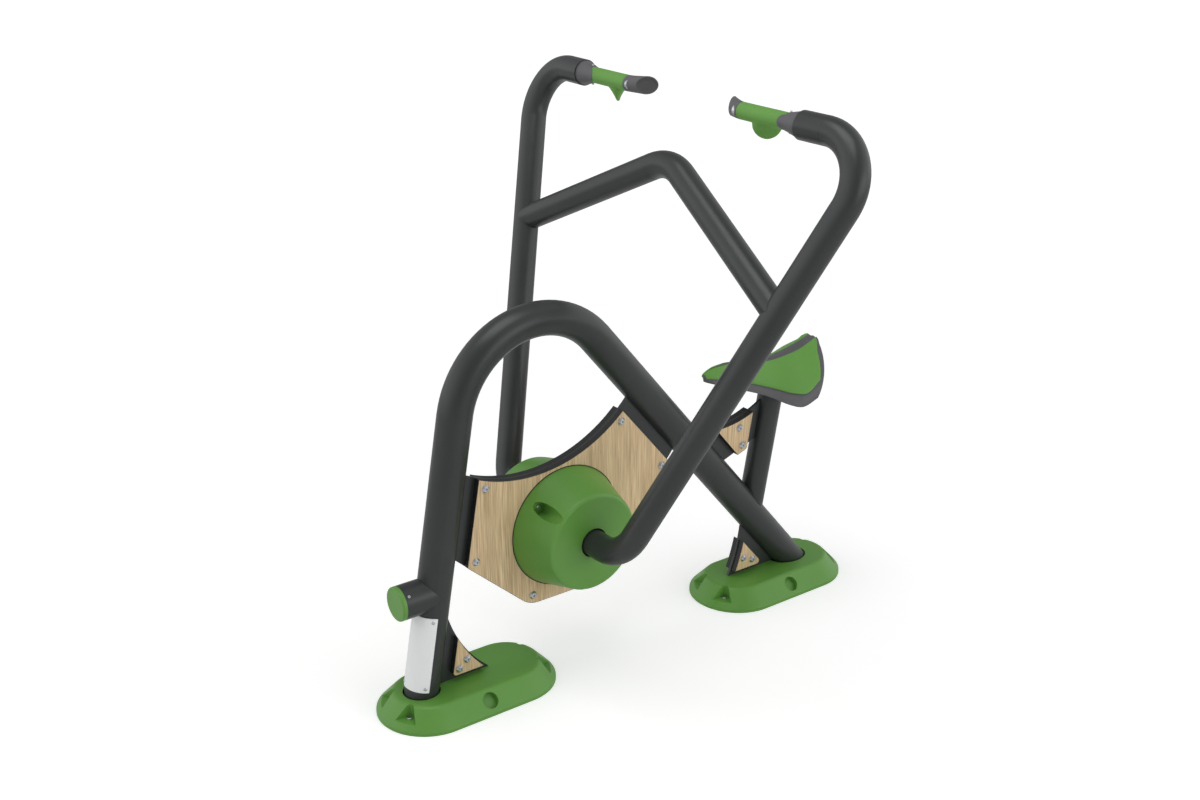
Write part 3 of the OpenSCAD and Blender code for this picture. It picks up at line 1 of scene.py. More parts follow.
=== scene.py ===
import math
import bmesh
import bpy
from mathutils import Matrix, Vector


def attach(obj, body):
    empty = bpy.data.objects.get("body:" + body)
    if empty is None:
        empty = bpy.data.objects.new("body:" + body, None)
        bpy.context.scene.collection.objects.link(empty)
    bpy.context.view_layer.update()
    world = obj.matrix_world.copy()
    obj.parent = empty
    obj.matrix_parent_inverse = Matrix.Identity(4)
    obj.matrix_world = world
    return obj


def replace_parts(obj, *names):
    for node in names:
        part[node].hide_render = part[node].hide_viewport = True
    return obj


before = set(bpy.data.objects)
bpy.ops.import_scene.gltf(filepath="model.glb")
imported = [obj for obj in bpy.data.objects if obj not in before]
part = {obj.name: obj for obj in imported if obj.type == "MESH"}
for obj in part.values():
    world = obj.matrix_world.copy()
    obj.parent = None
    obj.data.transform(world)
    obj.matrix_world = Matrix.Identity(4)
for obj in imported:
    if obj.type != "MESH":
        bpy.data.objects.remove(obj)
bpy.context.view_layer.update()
mm = 0.001

# View: a camera at the photograph's place, high on the front left of the station,
# with a plain 36 mm frame and no tilt to either side. Its places are in metres.
camera_place = Vector((-1.9472, -2.5425, 1.8834))
camera_look = Vector((0.5497, 0.7474, -0.3730))
camera_lens = 46.17
camera_frame = 36.0
camera_far = 60.0

camera = bpy.data.objects.new("camera", bpy.data.cameras.new("camera"))
bpy.context.scene.collection.objects.link(camera)
camera.location = camera_place
camera.rotation_euler = camera_look.to_track_quat("-Z", "Y").to_euler()
camera.data.sensor_width = camera_frame
camera.data.lens = camera_lens
camera.data.clip_end = camera_far
bpy.context.scene.camera = camera
bpy.context.scene.view_settings.view_transform = "Standard"

# Studio: a white surround that is brightest on the camera's left and right, as from two
# tall soft boxes, and dim behind the camera and overhead. A lamp above and a weak one in
# front make the shadows on a pale floor that turns to plain white further out.
surround_low, surround_gain = 0.30, 1.05
bright_side = (0.88, -0.47, 0.0)
surround_tint = (0.98, 0.99, 1.0, 1.0)
backdrop_tint = (0.985, 0.99, 0.985, 1.0)
fill_place, fill_power = (1.0, -3.4, 1.5), 15.0
overhead_place, overhead_power = (-0.6, -0.2, 3.8), 34.0
lamp_aim = (0.0, 0.0, 0.5)
lamp_size, lamp_aspect = 2.6, 0.7
floor_half = 14.0
floor_paint = (0.86, 0.86, 0.85, 1.0)
floor_white = (1.0, 1.0, 0.995, 1.0)
floor_lift, far_lift = 0.40, 0.57
fade_from, fade_to = 1.3, 4.5


def put(tree, socket, value):
    """A link where the value is a socket, else the plain value."""
    if isinstance(value, bpy.types.NodeSocket):
        tree.links.new(value, socket)
    else:
        socket.default_value = value


def wire(tree, kind, **values):
    """A new node with its inputs set by name."""
    node = tree.nodes.new(kind)
    for name, value in values.items():
        put(tree, node.inputs[name.replace("_", " ")], value)
    return node


def work_out(tree, operation, *values, kind="ShaderNodeMath", result="Value"):
    """One step of arithmetic on sockets or plain values."""
    node = tree.nodes.new(kind)
    node.operation = operation
    for socket, value in zip(node.inputs, values):
        put(tree, socket, value)
    return node.outputs[result]


def seen_directly(tree):
    """1 where the camera meets the surface, also through glass, else 0."""
    path = tree.nodes.new("ShaderNodeLightPath")
    return work_out(tree, "MAXIMUM", path.outputs["Is Camera Ray"],
                    path.outputs["Is Transmission Ray"])


studio = bpy.data.worlds.new("studio")
bpy.context.scene.world = studio
studio.use_nodes = True
sky = studio.node_tree
sky.nodes.clear()
heading = sky.nodes.new("ShaderNodeTexCoord")
toward = work_out(sky, "DOT_PRODUCT", heading.outputs["Generated"], bright_side,
                  kind="ShaderNodeVectorMath")
side_light = work_out(sky, "MULTIPLY", work_out(sky, "MULTIPLY", toward, toward),
                      surround_gain)
strength = work_out(sky, "ADD", side_light, surround_low)
surround = wire(sky, "ShaderNodeBackground", Color=surround_tint, Strength=strength)
backdrop = wire(sky, "ShaderNodeBackground", Color=backdrop_tint, Strength=1.0)
pick = wire(sky, "ShaderNodeMixShader", Fac=seen_directly(sky))
out = sky.nodes.new("ShaderNodeOutputWorld")
sky.links.new(surround.outputs["Background"], pick.inputs[1])
sky.links.new(backdrop.outputs["Background"], pick.inputs[2])
sky.links.new(pick.outputs["Shader"], out.inputs["Surface"])


def soft_lamp(name, place, power):
    lamp = bpy.data.objects.new(name, bpy.data.lights.new(name, "AREA"))
    bpy.context.scene.collection.objects.link(lamp)
    lamp.data.shape = "RECTANGLE"
    lamp.data.size = lamp_size
    lamp.data.size_y = lamp_size * lamp_aspect
    lamp.data.energy = power
    lamp.location = place
    way = Vector(lamp_aim) - Vector(place)
    lamp.rotation_euler = way.to_track_quat("-Z", "Y").to_euler()


soft_lamp("fill_lamp", fill_place, fill_power)
soft_lamp("overhead_lamp", overhead_place, overhead_power)

floor_skin = bpy.data.materials.new("pale_floor")
floor_skin.use_nodes = True
tree = floor_skin.node_tree
tree.nodes.clear()
spot = tree.nodes.new("ShaderNodeTexCoord")
away = work_out(tree, "LENGTH", spot.outputs["Object"], kind="ShaderNodeVectorMath")
lift = wire(tree, "ShaderNodeMapRange", Value=away, From_Min=fade_from, From_Max=fade_to,
            To_Min=floor_lift, To_Max=far_lift)
paint = wire(tree, "ShaderNodeBsdfDiffuse", Color=floor_paint)
glow = wire(tree, "ShaderNodeEmission", Color=floor_white,
            Strength=work_out(tree, "MULTIPLY", seen_directly(tree), lift.outputs["Result"]))
both = tree.nodes.new("ShaderNodeAddShader")
out = tree.nodes.new("ShaderNodeOutputMaterial")
tree.links.new(paint.outputs["BSDF"], both.inputs[0])
tree.links.new(glow.outputs["Emission"], both.inputs[1])
tree.links.new(both.outputs["Shader"], out.inputs["Surface"])

floor_mesh = bpy.data.meshes.new("floor")
floor_mesh.from_pydata(
    [(-floor_half, -floor_half, 0), (floor_half, -floor_half, 0),
     (floor_half, floor_half, 0), (-floor_half, floor_half, 0)],
    [], [(0, 1, 2, 3)])
floor = bpy.data.objects.new("floor", floor_mesh)
bpy.context.scene.collection.objects.link(floor)
floor_mesh.materials.append(floor_skin)

# Frame tube, stub and saddle post: bent steel tubes, welded, blasted and coated
# with anthracite polyester powder that keeps a fine orange peel and a satin sheen.
anthracite = (0.027, 0.030, 0.030)
anthracite_pale = (0.034, 0.037, 0.037)
powder_rough = 0.34
powder_grain, powder_peel = 900.0, 0.12
sheen_spread = 0.04
sheen_scale = 4.0
relief_depth = 0.0004


def cloudy(tree, scale, detail=3.0):
    """Soft noise that keeps its place on the part."""
    place = tree.nodes.new("ShaderNodeTexCoord")
    return wire(tree, "ShaderNodeTexNoise", Vector=place.outputs["Object"], Scale=scale,
                Detail=detail).outputs["Fac"]


def between(tree, amount, low, high, low_at=0.35, high_at=0.65):
    """Colour that runs from low to high as the amount passes between two places."""
    scale = tree.nodes.new("ShaderNodeValToRGB")
    ends = scale.color_ramp.elements
    for end, place, colour in zip(ends, (low_at, high_at), (low, high)):
        end.position = place
        end.color = (*colour, 1.0)
    tree.links.new(amount, scale.inputs["Fac"])
    return scale.outputs["Color"]


def finish(name, low, high, roughness, grain, peel, spread=6.0, metal=0.0):
    """A surface with a slightly uneven colour and sheen and a fine relief."""
    skin = bpy.data.materials.new(name)
    skin.use_nodes = True
    tree = skin.node_tree
    shader = tree.nodes["Principled BSDF"]
    tree.links.new(between(tree, cloudy(tree, spread), low, high), shader.inputs["Base Color"])
    shader.inputs["Metallic"].default_value = metal
    uneven = wire(tree, "ShaderNodeMapRange", Value=cloudy(tree, spread * sheen_scale),
                  To_Min=roughness - sheen_spread, To_Max=roughness + sheen_spread)
    tree.links.new(uneven.outputs["Result"], shader.inputs["Roughness"])
    relief = wire(tree, "ShaderNodeBump", Height=cloudy(tree, grain, detail=2.0),
                  Strength=peel, Distance=relief_depth)
    tree.links.new(relief.outputs["Normal"], shader.inputs["Normal"])
    return skin


def dress(skin, *names):
    """Carried-over CAD nodes get this finish."""
    for name in names:
        part[name].data.materials.clear()
        part[name].data.materials.append(skin)


powder_coat = finish("powder_coat", anthracite, anthracite_pale, powder_rough,
                     powder_grain, powder_peel)
dress(powder_coat, "main_tube", "stub_tube", "seat_post", "web_plate", "front_gusset",
      "rear_gusset", "seat_bracket", "seat_plate", "front_base_plate", "rear_base_plate")

# Stub cap and covers: green plastic, injection moulded with a fine spark-eroded
# grain, pushed or screwed on over the steel.
green_low = (0.118, 0.318, 0.048)
green_high = (0.132, 0.342, 0.056)
green_rough = 0.38
mould_grain, mould_peel = 2600.0, 0.16

green_plastic = finish("green_plastic", green_low, green_high, green_rough,
                       mould_grain, mould_peel)
dress(green_plastic, "stub_cap", "front_foot_cover", "rear_foot_cover",
      "pivot_cover_left", "pivot_cover_right")

# Instruction plate: a thin white aluminium sheet rolled round the front leg and
# held by four blind rivets.
white_low = (0.97, 0.98, 0.98)
white_high = (0.98, 0.99, 0.99)
white_rough = 0.34
sheet_grain, sheet_peel = 500.0, 0.04

plate_white = finish("plate_white", white_low, white_high, white_rough,
                     sheet_grain, sheet_peel)
dress(plate_white, "instruction_plate")

# Screws, bolts and rivets: turned stainless steel, brushed bright. They hold the panels,
# covers, feet, saddle and grips. The bars inside the grips are of the same steel.
steel_low = (0.52, 0.54, 0.57)
steel_high = (0.62, 0.64, 0.67)
steel_rough = 0.30
brush_grain, brush_peel, brush_spread = 3000.0, 0.10, 60.0

stainless = finish("stainless", steel_low, steel_high, steel_rough,
                   brush_grain, brush_peel, spread=brush_spread, metal=1.0)
dress(stainless, "stub_screw", "plate_rivets", "panel_bolts", "panel_nuts", "seat_bolts",
      "foot_screws", "pivot_cover_screws", "inner_bolts", "handle_bars", "grip_screws")

# Panels: high-pressure laminate with a dark core and an oak face, sawn and
# trimmed, bolted to each side of the steel plates with its grain upright.
oak_dark = (0.46, 0.315, 0.165)
oak_light = (0.97, 0.735, 0.445)
core_grey = (0.030, 0.030, 0.030)
oak_rough, oak_shine = 0.5, 0.35
pore_relief, pore_depth = 0.15, 0.0003
sway_scale, sway_detail, sway_share = (7.0, 1.0, 1.6), 1.0, 0.05
streak_scale, streak_detail, streak_rough = (420.0, 1.0, 9.0), 4.0, 0.62
band_scale, band_detail, band_share = (70.0, 1.0, 1.5), 2.0, 0.22
grain_from, grain_to = 0.34, 0.66
chamfer = 3.5
chamfer_samples = 8
face_tilt = 0.93


def stretched(tree, vector, scale, detail, roughness=0.5):
    """Noise drawn out along the axes where its scale is small."""
    pull = wire(tree, "ShaderNodeMapping", Vector=vector, Scale=scale)
    return wire(tree, "ShaderNodeTexNoise", Vector=pull.outputs["Vector"], Scale=1.0,
                Detail=detail, Roughness=roughness)


oak_face = bpy.data.materials.new("oak_face")
oak_face.use_nodes = True
tree = oak_face.node_tree
shader = tree.nodes["Principled BSDF"]
place = tree.nodes.new("ShaderNodeTexCoord")
drift = stretched(tree, place.outputs["Object"], sway_scale, sway_detail)
shift = work_out(tree, "MULTIPLY", drift.outputs["Color"], (sway_share,) * 3,
                 kind="ShaderNodeVectorMath", result="Vector")
bent = work_out(tree, "ADD", place.outputs["Object"], shift,
                kind="ShaderNodeVectorMath", result="Vector")
streaks = stretched(tree, bent, streak_scale, streak_detail, streak_rough)
bands = stretched(tree, bent, band_scale, band_detail)
blend = wire(tree, "ShaderNodeMix", Factor=band_share, A=streaks.outputs["Fac"],
             B=bands.outputs["Fac"])
grain = between(tree, blend.outputs["Result"], oak_dark, oak_light, grain_from, grain_to)

# The chamfer and the sawn edge show the core: there the rounded normal leaves the Y axis.
rounded = wire(tree, "ShaderNodeBevel", Radius=chamfer * mm)
rounded.samples = chamfer_samples
split = wire(tree, "ShaderNodeSeparateXYZ", Vector=rounded.outputs["Normal"])
face = work_out(tree, "GREATER_THAN", work_out(tree, "ABSOLUTE", split.outputs["Y"]), face_tilt)
colour = tree.nodes.new("ShaderNodeMix")
colour.data_type = "RGBA"
put(tree, colour.inputs["Factor"], face)
put(tree, colour.inputs["A"], (*core_grey, 1.0))
put(tree, colour.inputs["B"], grain)
relief = wire(tree, "ShaderNodeBump", Height=blend.outputs["Result"], Strength=pore_relief,
              Distance=pore_depth)
put(tree, shader.inputs["Base Color"], colour.outputs["Result"])
put(tree, shader.inputs["Roughness"], oak_rough)
shader.inputs["Specular IOR Level"].default_value = oak_shine
put(tree, shader.inputs["Normal"], relief.outputs["Normal"])
dress(oak_face, "web_panel_left", "web_panel_right", "front_panel_left", "front_panel_right",
      "rear_panel_left", "rear_panel_right", "bracket_panel_left", "bracket_panel_right")

# Pivot: bearing housing, damper and stops are coated steel, hidden by the covers;
# the axle and the bearings are ground steel, the buffers are black rubber.
ground_low = (0.44, 0.45, 0.47)
ground_high = (0.50, 0.51, 0.53)
ground_rough = 0.22
ground_grain, ground_peel, ground_spread = 4000.0, 0.05, 80.0
rubber_low = (0.012, 0.012, 0.012)
rubber_high = (0.018, 0.018, 0.018)
rubber_rough = 0.7
rubber_grain, rubber_peel = 1500.0, 0.2

dress(powder_coat, "hub_housing", "damper_housing", "stop_bracket", "arm_hubs", "stop_lever",
      "damper_rotor")
ground_steel = finish("ground_steel", ground_low, ground_high, ground_rough,
                      ground_grain, ground_peel, spread=ground_spread, metal=1.0)
dress(ground_steel, "axle", "arm_pins", "bearing_inner_rings", "bearing_outer_rings",
      "bearing_balls", "retaining_rings")
# Black rubber for the stop buffers, also used as painted shade in the rings round the pivot
# covers.
black_rubber_and_painted_shade = finish("black_rubber_and_painted_shade", rubber_low, rubber_high, rubber_rough,
                       rubber_grain, rubber_peel)
dress(black_rubber_and_painted_shade, "stop_buffers")

# Shade rings: a thin black ring on each panel round the edge of its pivot cover is painted
# shade for the dark gap there. Its section is domed, and its sizes are in millimetres, as all
# those below.
pivot_x, pivot_z = -185.5, 346.5
panel_face = 18.0
shade_ring_r, shade_ring_out_r = 140.5, 142.2
shade_ring_t = 1.3
shade_ring_outside_share, shade_ring_inside_share = 0.6, 0.8
shade_ring_section = ((shade_ring_r, 0.0), (shade_ring_out_r, 0.0), (shade_ring_out_r, shade_ring_t * shade_ring_outside_share),
                ((shade_ring_r + shade_ring_out_r) / 2, shade_ring_t), (shade_ring_r, shade_ring_t * shade_ring_inside_share))
around = 64
shade_ring_around = 2 * around


def turn(k, count=around):
    """The angle of the k-th of so many points on a circle."""
    return 2 * math.pi * k / count


def ring_body(mesh, rings, closed=False, other_from=None):
    """A body through rings of points, capped at its ends or joined end to end."""
    loops = [[mesh.verts.new(p * mm) for p in ring] for ring in rings]
    pairs = list(zip(loops, loops[1:]))
    if closed:
        pairs.append((loops[-1], loops[0]))
    for step, (a, b) in enumerate(pairs):
        for k in range(len(a)):
            n = (k + 1) % len(a)
            face = mesh.faces.new((a[k], a[n], b[n], b[k]))
            face.material_index = 0 if other_from is None or step < other_from else 1
    if not closed:
        mesh.faces.new(loops[0][::-1])
        mesh.faces.new(loops[-1]).material_index = 0 if other_from is None else 1


def settle(name, mesh, *skins):
    """The finished mesh as a smooth-shaded piece with its skins."""
    bmesh.ops.recalc_face_normals(mesh, faces=mesh.faces)
    data = bpy.data.meshes.new(name)
    mesh.to_mesh(data)
    mesh.free()
    data.shade_smooth()
    for skin in skins:
        data.materials.append(skin)
    piece = bpy.data.objects.new(name, data)
    bpy.context.scene.collection.objects.link(piece)
    return piece


def shade_ring_circle(side, r, y):
    """A circle about the pivot, at a height y over the panel's face."""
    return [Vector((pivot_x + r * math.cos(turn(k, shade_ring_around)),
                    side * (panel_face + y),
                    pivot_z + r * math.sin(turn(k, shade_ring_around))))
            for k in range(shade_ring_around)]


# Painted shade: a black ring on each panel where the gap at the cover's edge lies in shade.
mesh = bmesh.new()
for side in (-1, 1):
    ring_body(mesh, [shade_ring_circle(side, r, y) for r, y in shade_ring_section], closed=True)
painted_shade_rings = settle("cover_shade_rings", mesh, black_rubber_and_painted_shade)
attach(painted_shade_rings, "frame")

# Press arm: two tubes bent twice and a bowed crossbar, welded together and coated
# like the frame.
dress(powder_coat, "arm_left", "arm_right", "crossbar")

# Handles: a grey collar pushed into the tube, a soft green grip with a paddle moulded
# under it in one piece, and a grey cap that widens to an oval face turned forward. The
# sizes run inward from the arm tube's end.
tube_end = Vector((148.4, -364.0, 1258.65))
handle_way = Vector((-0.034, 1.0, 0.0087)).normalized()
grip_r = 18.2
grip_from, grip_to = 22.0, 174.0
grey_low = (0.100, 0.097, 0.103)
grey_high = (0.122, 0.118, 0.125)
grey_rough = 0.48
grip_rough = 0.55
grip_grain, grip_peel = 3200.0, 0.25
blend_step = 1.2
smooth_share, smooth_times = 0.5, 9

grey_plastic = finish("grey_plastic", grey_low, grey_high, grey_rough,
                      mould_grain, mould_peel)
grip_green = finish("grip_green", green_low, green_high, grip_rough,
                    grip_grain, grip_peel)


def on_handle(side, forward, up, inward):
    """A place given from the tube's end, on the near (-1) or the far (1) handle."""
    way = Vector((handle_way.x, -side * handle_way.y, handle_way.z))
    ahead = (Vector((-1.0, 0.0, 0.0)) - way * -way.x).normalized()
    rise = way.cross(ahead) * -side
    end = Vector((tube_end.x, -side * tube_end.y, tube_end.z))
    return end + ahead * forward + rise * up + way * inward


def round_ring(side, r, inward):
    """A circle about the handle's axis."""
    return [on_handle(side, r * math.cos(turn(k)), r * math.sin(turn(k)), inward)
            for k in range(around)]


# The collar: a plug in the tube, a cone outside it, and a tongue ahead over the grip. Each
# step along the cone is a share of its reach and how far the ring is drawn in there.
collar_plug = 16.0
collar_plug_r = 26.3
collar_wide = 28.2
collar_rim = 0.9
collar_seat = 0.1
collar_len = 39.0
collar_skin = 0.8
collar_bore = grip_r - 1.0
tongue_len = 16.0
tongue_spread = math.radians(62)
tongue_round = 0.7
collar_steps = ((0.25, 0.0), (0.5, 0.0), (0.75, 0.0), (0.94, 0.0), (1.0, 0.3))


def collar_end(angle):
    """How far the collar reaches at an angle from straight ahead."""
    reach = max(1 - (angle / tongue_spread) ** 2, 0.0)
    return collar_len + tongue_len * reach ** tongue_round


def cone_ring(side, share, draw=0.0, bore=None):
    """A ring at a share of the collar's reach, on its cone or in its bore."""
    ring = []
    for k in range(around):
        a = turn(k) if turn(k) <= math.pi else turn(k) - 2 * math.pi
        inward = collar_rim + (collar_end(a) - collar_rim) * share
        slim = min(inward / collar_len, 1.0)
        r = bore or collar_wide + (grip_r + collar_skin - collar_wide) * slim - draw
        ring.append(on_handle(side, r * math.cos(a), r * math.sin(a), inward))
    return ring


def build_collar(mesh, side):
    rings = [round_ring(side, r, inward) for r, inward in (
        (collar_plug_r, -collar_plug), (collar_plug_r, -collar_seat),
        (collar_wide - collar_rim, 0.0), (collar_wide, collar_rim))]
    rings += [cone_ring(side, share, draw) for share, draw in collar_steps]
    rings.append(cone_ring(side, 1.0, bore=collar_bore))
    rings += [round_ring(side, collar_bore, inward) for inward in (grip_from, -collar_plug)]
    ring_body(mesh, rings, closed=True)


# The paddle: a round blade under the grip at 45 degrees, thin at its tip, wide at its root.
paddle_r = 31.0
paddle_tip = 50.0
paddle_turn = math.radians(45)
paddle_at = 113.0
paddle_back = 14.0
paddle_thin = 2.6
paddle_root = 19.0
paddle_root_most = 15.0
paddle_from = 9.0
paddle_fall = 33.0
paddle_flare = 1.5
paddle_least = 3.0
paddle_levels, paddle_crowd = 18, 0.8
paddle_around = around // 2


def paddle_ring(side, depth):
    """The blade's section at a depth under the grip's axis."""
    up_blade = depth - (paddle_tip - paddle_r)
    long = math.sqrt(max(paddle_r ** 2 - up_blade ** 2, paddle_least ** 2))
    thick = max((paddle_tip - depth) / paddle_fall, 0.0) ** paddle_flare
    half = min(paddle_thin + paddle_root * thick, long)
    if depth < grip_r / 2:
        half = min(half, paddle_root_most)
    ring = []
    for k in range(paddle_around):
        a = long * math.cos(turn(k, paddle_around))
        b = half * math.sin(turn(k, paddle_around))
        ring.append(on_handle(
            side, -paddle_back - a * math.sin(paddle_turn) + b * math.cos(paddle_turn), -depth,
            paddle_at - a * math.cos(paddle_turn) - b * math.sin(paddle_turn)))
    return ring


# The cap: it leaves the grip round and flares to the oval face, which is dished. Each
# step of the face is how far its ring is drawn in and how far it stands out.
cap_len = 44.0
cap_back = 17.0
cap_turn = math.radians(27)
cap_long, cap_wide = 26.5, 20.2
cap_steps = 14
cap_flare = 1.7
cap_bow = 1.3
cap_face_steps = ((0.3, 0.9), (1.2, 1.5), (2.6, 1.5), (3.4, 0.9), (12.0, 0.7),
                  (cap_wide - 3.0, 0.6))
cap_rim_steps = 3
face_low = (0.062, 0.062, 0.064)
face_high = (0.078, 0.078, 0.080)
face_rough = 0.62
face_grain, face_peel = 700.0, 0.7


def cap_ring(side, share, shrink=0.0, beyond=0.0):
    """A ring at a share of the cap's length, drawn in by shrink and set out beyond."""
    tilt = cap_turn * share
    flare = share ** cap_flare
    long = grip_r + (cap_long - grip_r) * flare - shrink
    wide = grip_r + (cap_wide - grip_r) * flare - shrink
    back = cap_back * share ** cap_bow
    ring = []
    for k in range(around):
        a, b = long * math.cos(turn(k)), wide * math.sin(turn(k))
        ring.append(on_handle(
            side, -back + a * math.cos(tilt) + beyond * math.sin(tilt), b,
            grip_to + cap_len * share - a * math.sin(tilt) + beyond * math.cos(tilt)))
    return ring


def build_cap(mesh, side):
    rings = [cap_ring(side, k / cap_steps) for k in range(cap_steps + 1)]
    rings += [cap_ring(side, 1.0, shrink, beyond) for shrink, beyond in cap_face_steps]
    ring_body(mesh, rings, other_from=cap_steps + cap_rim_steps)


def both_handles(name, build, *skins):
    """One piece for both handles, since neither moves against the other."""
    mesh = bmesh.new()
    for side in (-1, 1):
        build(mesh, side)
    return settle(name, mesh, *skins)


def grip_piece(name, side):
    """Grip and paddle, blended into one soft moulding."""
    mesh = bmesh.new()
    ring_body(mesh, [round_ring(side, grip_r, inward) for inward in (grip_from, grip_to)])
    depths = [paddle_from + (paddle_tip - paddle_from) * (k / paddle_levels) ** paddle_crowd
              for k in range(paddle_levels + 1)]
    ring_body(mesh, [paddle_ring(side, depth) for depth in depths])
    grip = settle(name, mesh, grip_green)
    blend = grip.modifiers.new("blend", "REMESH")
    blend.mode = "VOXEL"
    blend.voxel_size = blend_step * mm
    blend.use_smooth_shade = True
    ease = grip.modifiers.new("ease", "SMOOTH")
    ease.factor = smooth_share
    ease.iterations = smooth_times
    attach(grip, "press_arm")
    return grip


cap_face = finish("cap_face", face_low, face_high, face_rough, face_grain, face_peel)
collars = both_handles("handle_collars", build_collar, grey_plastic)
caps = both_handles("handle_caps", build_cap, grey_plastic, cap_face)
for piece, node in ((collars, "grip_collars"), (caps, "grip_caps")):
    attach(piece, "press_arm")
    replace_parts(piece, node)
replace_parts(grip_piece("near_grip", -1), "grip_left")
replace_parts(grip_piece("far_grip", 1), "grip_right")

# Saddle: a grey moulded shell with a channel along its middle, and a soft green
# skin on each side that is foamed in behind a fine bead. Both come from one form, given
# by shares of its length, width and height at nine stations from the nose to the rear.
saddle_len = 336.0
saddle_wid = 208.0
saddle_high = 127.0
saddle_low_z = 505.0
saddle_nose_x = 221.9
mid_x_shares = (0, 0.095, 0.22, 0.35, 0.485, 0.622, 0.757, 0.893, 1.032)
mid_z_shares = (0.78, 0.85, 0.846, 0.795, 0.748, 0.736, 0.772, 0.843, 0.985)
rim_x_shares = (0.006, 0.0625, 0.158, 0.271, 0.387, 0.482, 0.568, 0.67, 0.804)
rim_y_shares = (0.067, 0.163, 0.24, 0.327, 0.433, 0.596, 0.827, 0.99, 1)
rim_z_shares = (0.709, 0.614, 0.512, 0.409, 0.299, 0.197, 0.071, 0, 0.102)
crown_front, crown_rear = 0.84, 0.72
crown_from, crown_run = 0.35, 0.3
channel_half_front, channel_half_rear = 2.0, 19.0
channel_growth = 0.9
channel_most = 0.8
channel_share = 2 / 12
lip_high = 7.5
lip_from, lip_run = 0.07, 0.16
lip_inside, lip_rise = 0.4, 0.4
lip_outside, lip_fall = 1.45, 0.3


def smooth_value(table, u):
    """A table of shares read at the fraction u of its length, without kinks."""
    last = len(table) - 1
    k = min(int(u * last), last - 1)
    f = u * last - k
    a, b, c, d = table[max(k - 1, 0)], table[k], table[k + 1], table[min(k + 2, last)]
    return b + f * ((c - a) / 2 + f * (a - 2.5 * b + 2 * c - d / 2
                                       + f * (1.5 * (b - c) + (d - a) / 2)))


def ramp(f, start=0.0, run=1.0):
    """From 0 to 1 with soft ends, over a run from its start."""
    f = min(max((f - start) / run, 0.0), 1.0)
    return f * f * (3 - 2 * f)


def mix(a, b, share):
    return a + (b - a) * share


def saddle_point(u, v):
    """The saddle's outer form: u from nose to rear, v from -1 to 1 between the rims."""
    half = saddle_wid / 2 * smooth_value(rim_y_shares, u)
    wide = mix(channel_half_front, channel_half_rear, ramp(u * channel_growth))
    edge = math.asin(min(wide / half, channel_most))
    if abs(v) < channel_share:
        angle = edge * abs(v) / channel_share
    else:
        angle = edge + (math.pi / 2 - edge) * (abs(v) - channel_share) / (1 - channel_share)
    drop = (1 - math.cos(angle)) ** mix(crown_front, crown_rear, ramp(u, crown_from, crown_run))
    x = mix(smooth_value(mid_x_shares, u), smooth_value(rim_x_shares, u), drop)
    z = mix(smooth_value(mid_z_shares, u), smooth_value(rim_z_shares, u), drop)
    return Vector((saddle_nose_x + saddle_len * x,
                   math.copysign(half * math.sin(angle), v),
                   saddle_low_z + saddle_high * z))


def saddle_out(u, v, step=0.01):
    """Which way is out of the form there."""
    u = min(max(u, step), 1 - step)
    v = min(max(v, step - 1), 1 - step)
    along = saddle_point(u + step, v) - saddle_point(u - step, v)
    across = saddle_point(u, v + step) - saddle_point(u, v - step)
    return along.cross(across).normalized()


def lip(u, v):
    """Height of the lip that stands along the channel on each side."""
    f = abs(v) / channel_share
    return (lip_high * ramp(u, lip_from, lip_run) * ramp(f, lip_inside, lip_rise)
            * ramp(lip_outside - f, 0.0, lip_fall))


def skin_mesh(name, outside, inside, skin):
    """A closed piece between an outer and an inner set of rows of points."""
    mesh = bmesh.new()
    top, low = ([[mesh.verts.new(p * mm) for p in row] for row in grid]
                for grid in (outside, inside))
    for i in range(len(top) - 1):
        for j in range(len(top[0]) - 1):
            mesh.faces.new((top[i][j], top[i][j + 1], top[i + 1][j + 1], top[i + 1][j]))
    for i in range(len(low) - 1):
        for j in range(len(low[0]) - 1):
            mesh.faces.new((low[i][j], low[i + 1][j], low[i + 1][j + 1], low[i][j + 1]))

    def edge(grid):
        """The points round a grid, one after the other."""
        return (grid[0] + [row[-1] for row in grid[1:]] + grid[-1][-2::-1]
                + [row[0] for row in grid[-2:0:-1]])

    upper, lower = edge(top), edge(low)
    for k in range(len(upper)):
        n = (k + 1) % len(upper)
        mesh.faces.new((upper[k], lower[k], lower[n], upper[n]))
    return settle(name, mesh, skin)


def round_off(piece, name, width, steps, least_turn):
    """A bevel along every edge that turns by more than the least."""
    bevel = piece.modifiers.new(name, "BEVEL")
    bevel.width = width * mm
    bevel.segments = steps
    bevel.limit_method = "ANGLE"
    bevel.angle_limit = least_turn


# The shell: the form itself above, and a flat belly below that falls to the rim.
shell_rows = 54
shell_cols = 96
shell_t = 6.0
belly_z = 546.0
belly_rise_shares = (0.34, 0.25, 0.14, 0, 0, 0, 0, 0, 0.25)
belly_width_share = 0.72
shell_edge, shell_edge_steps = 3.0, 3
shell_edge_turn = math.radians(50)


def belly_point(u, v):
    """The shell's underside below the form's own point."""
    top, rim = saddle_point(u, v), saddle_point(u, 1.0)
    last = len(belly_rise_shares) - 1
    k = min(int(u * last), last - 1)
    rise = mix(belly_rise_shares[k], belly_rise_shares[k + 1], u * last - k)
    flat_z = belly_z + saddle_high * rise
    fall = max(abs(top.y) / rim.y - belly_width_share, 0) / (1 - belly_width_share)
    squeeze = (rim.y - min(shell_t, rim.y / 2)) / rim.y
    return Vector((top.x, top.y * squeeze, mix(flat_z, rim.z, fall ** 2)))


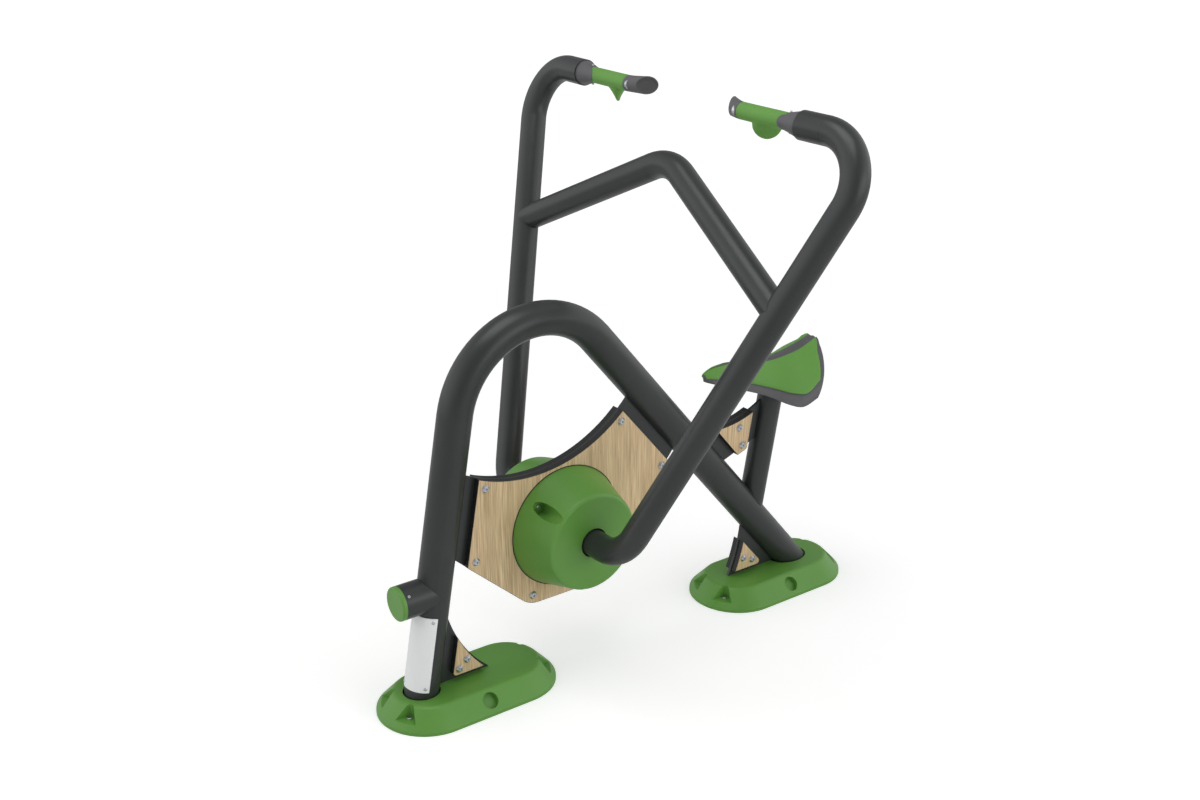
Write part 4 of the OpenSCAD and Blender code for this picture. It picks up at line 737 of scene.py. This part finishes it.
stations = [i / shell_rows for i in range(shell_rows + 1)]
across = [2 * j / shell_cols - 1 for j in range(shell_cols + 1)]
shell = skin_mesh("saddle_shell",
                  [[saddle_point(u, v) + saddle_out(u, v) * lip(u, v) for v in across]
                   for u in stations],
                  [[belly_point(u, v) for v in across] for u in stations],
                  grey_plastic)
round_off(shell, "soft_edges", shell_edge, shell_edge_steps, shell_edge_turn)
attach(shell, "frame")
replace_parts(shell, "seat_shell")

# The pads: crowned cushions with a rounded edge that dips to a bead all round. Each lies
# over the lip of the channel and stops short of the rim.
pad_t = 8.5
pad_gap = 0.3
pad_edge = 0.35
pad_swell, pad_fall = 0.45, 2.2
pad_over_lip = 0.8
pad_rows, pad_cols = 60, 26
pad_round, pad_round_steps = 2.2, 4
pad_round_turn = math.radians(55)
pad_first, pad_last = 0.004, 0.99
rear_draw, rear_draw_run = 0.035, 0.4
nose_share = 0.10
inner_nose, inner_grow = 0.04, 0.80
inner_draw, inner_from, inner_run = 0.2, 0.8, 0.2
rim_front, rim_rear = 0.24, 0.205
rim_from, rim_run = 0.35, 0.45
corner_draw, corner_from, corner_run = 0.10, 0.84, 0.16
pad_rough = 0.52
pad_grain, pad_peel = 3000.0, 0.22

pad_green = finish("pad_green", green_low, green_high, pad_rough, pad_grain, pad_peel)


def pad_edges(u):
    """Where the pad begins at the channel and ends before the rim."""
    parted = ramp(u, nose_share / 2, nose_share)
    inner = inner_nose + inner_grow * parted - inner_draw * ramp(u, inner_from, inner_run)
    outer = (mix(rim_front, rim_rear, ramp(u, rim_from, rim_run))
             + corner_draw * ramp(u, corner_from, corner_run) ** 2)
    return channel_share * inner, 1 - outer


def pad_points(side, f, g):
    """Upper and lower point at f along the pad and g across it, both from 0 to 1."""
    inner, outer = pad_edges(mix(pad_first, pad_last, f))
    v = mix(inner, outer, g)
    u = mix(pad_first, pad_last - rear_draw * ramp(g, 0.0, rear_draw_run), f)
    bulge = max(math.sin(math.pi * f), 0.0) ** pad_swell
    side_fall = max(1 - g ** pad_fall, 0.0) ** 0.5
    swell = pad_edge + (1 - pad_edge) * bulge * side_fall
    height = max(mix(pad_gap, pad_t, swell), lip(u, v) + pad_over_lip)
    place, out = saddle_point(u, v), saddle_out(u, v)
    points = (place + out * height, place + out * pad_gap)
    return [Vector((p.x, p.y * side, p.z)) for p in points]


def pad_piece(name, side):
    rows = [[pad_points(side, i / pad_rows, j / pad_cols) for j in range(pad_cols + 1)]
            for i in range(pad_rows + 1)]
    pad = skin_mesh(name, [[top for top, low in row] for row in rows],
                    [[low for top, low in row] for row in rows], pad_green)
    round_off(pad, "round_edge", pad_round, pad_round_steps, pad_round_turn)
    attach(pad, "frame")
    return pad


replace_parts(pad_piece("pad_left", -1), "seat_pad_left")
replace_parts(pad_piece("pad_right", 1), "seat_pad_right")
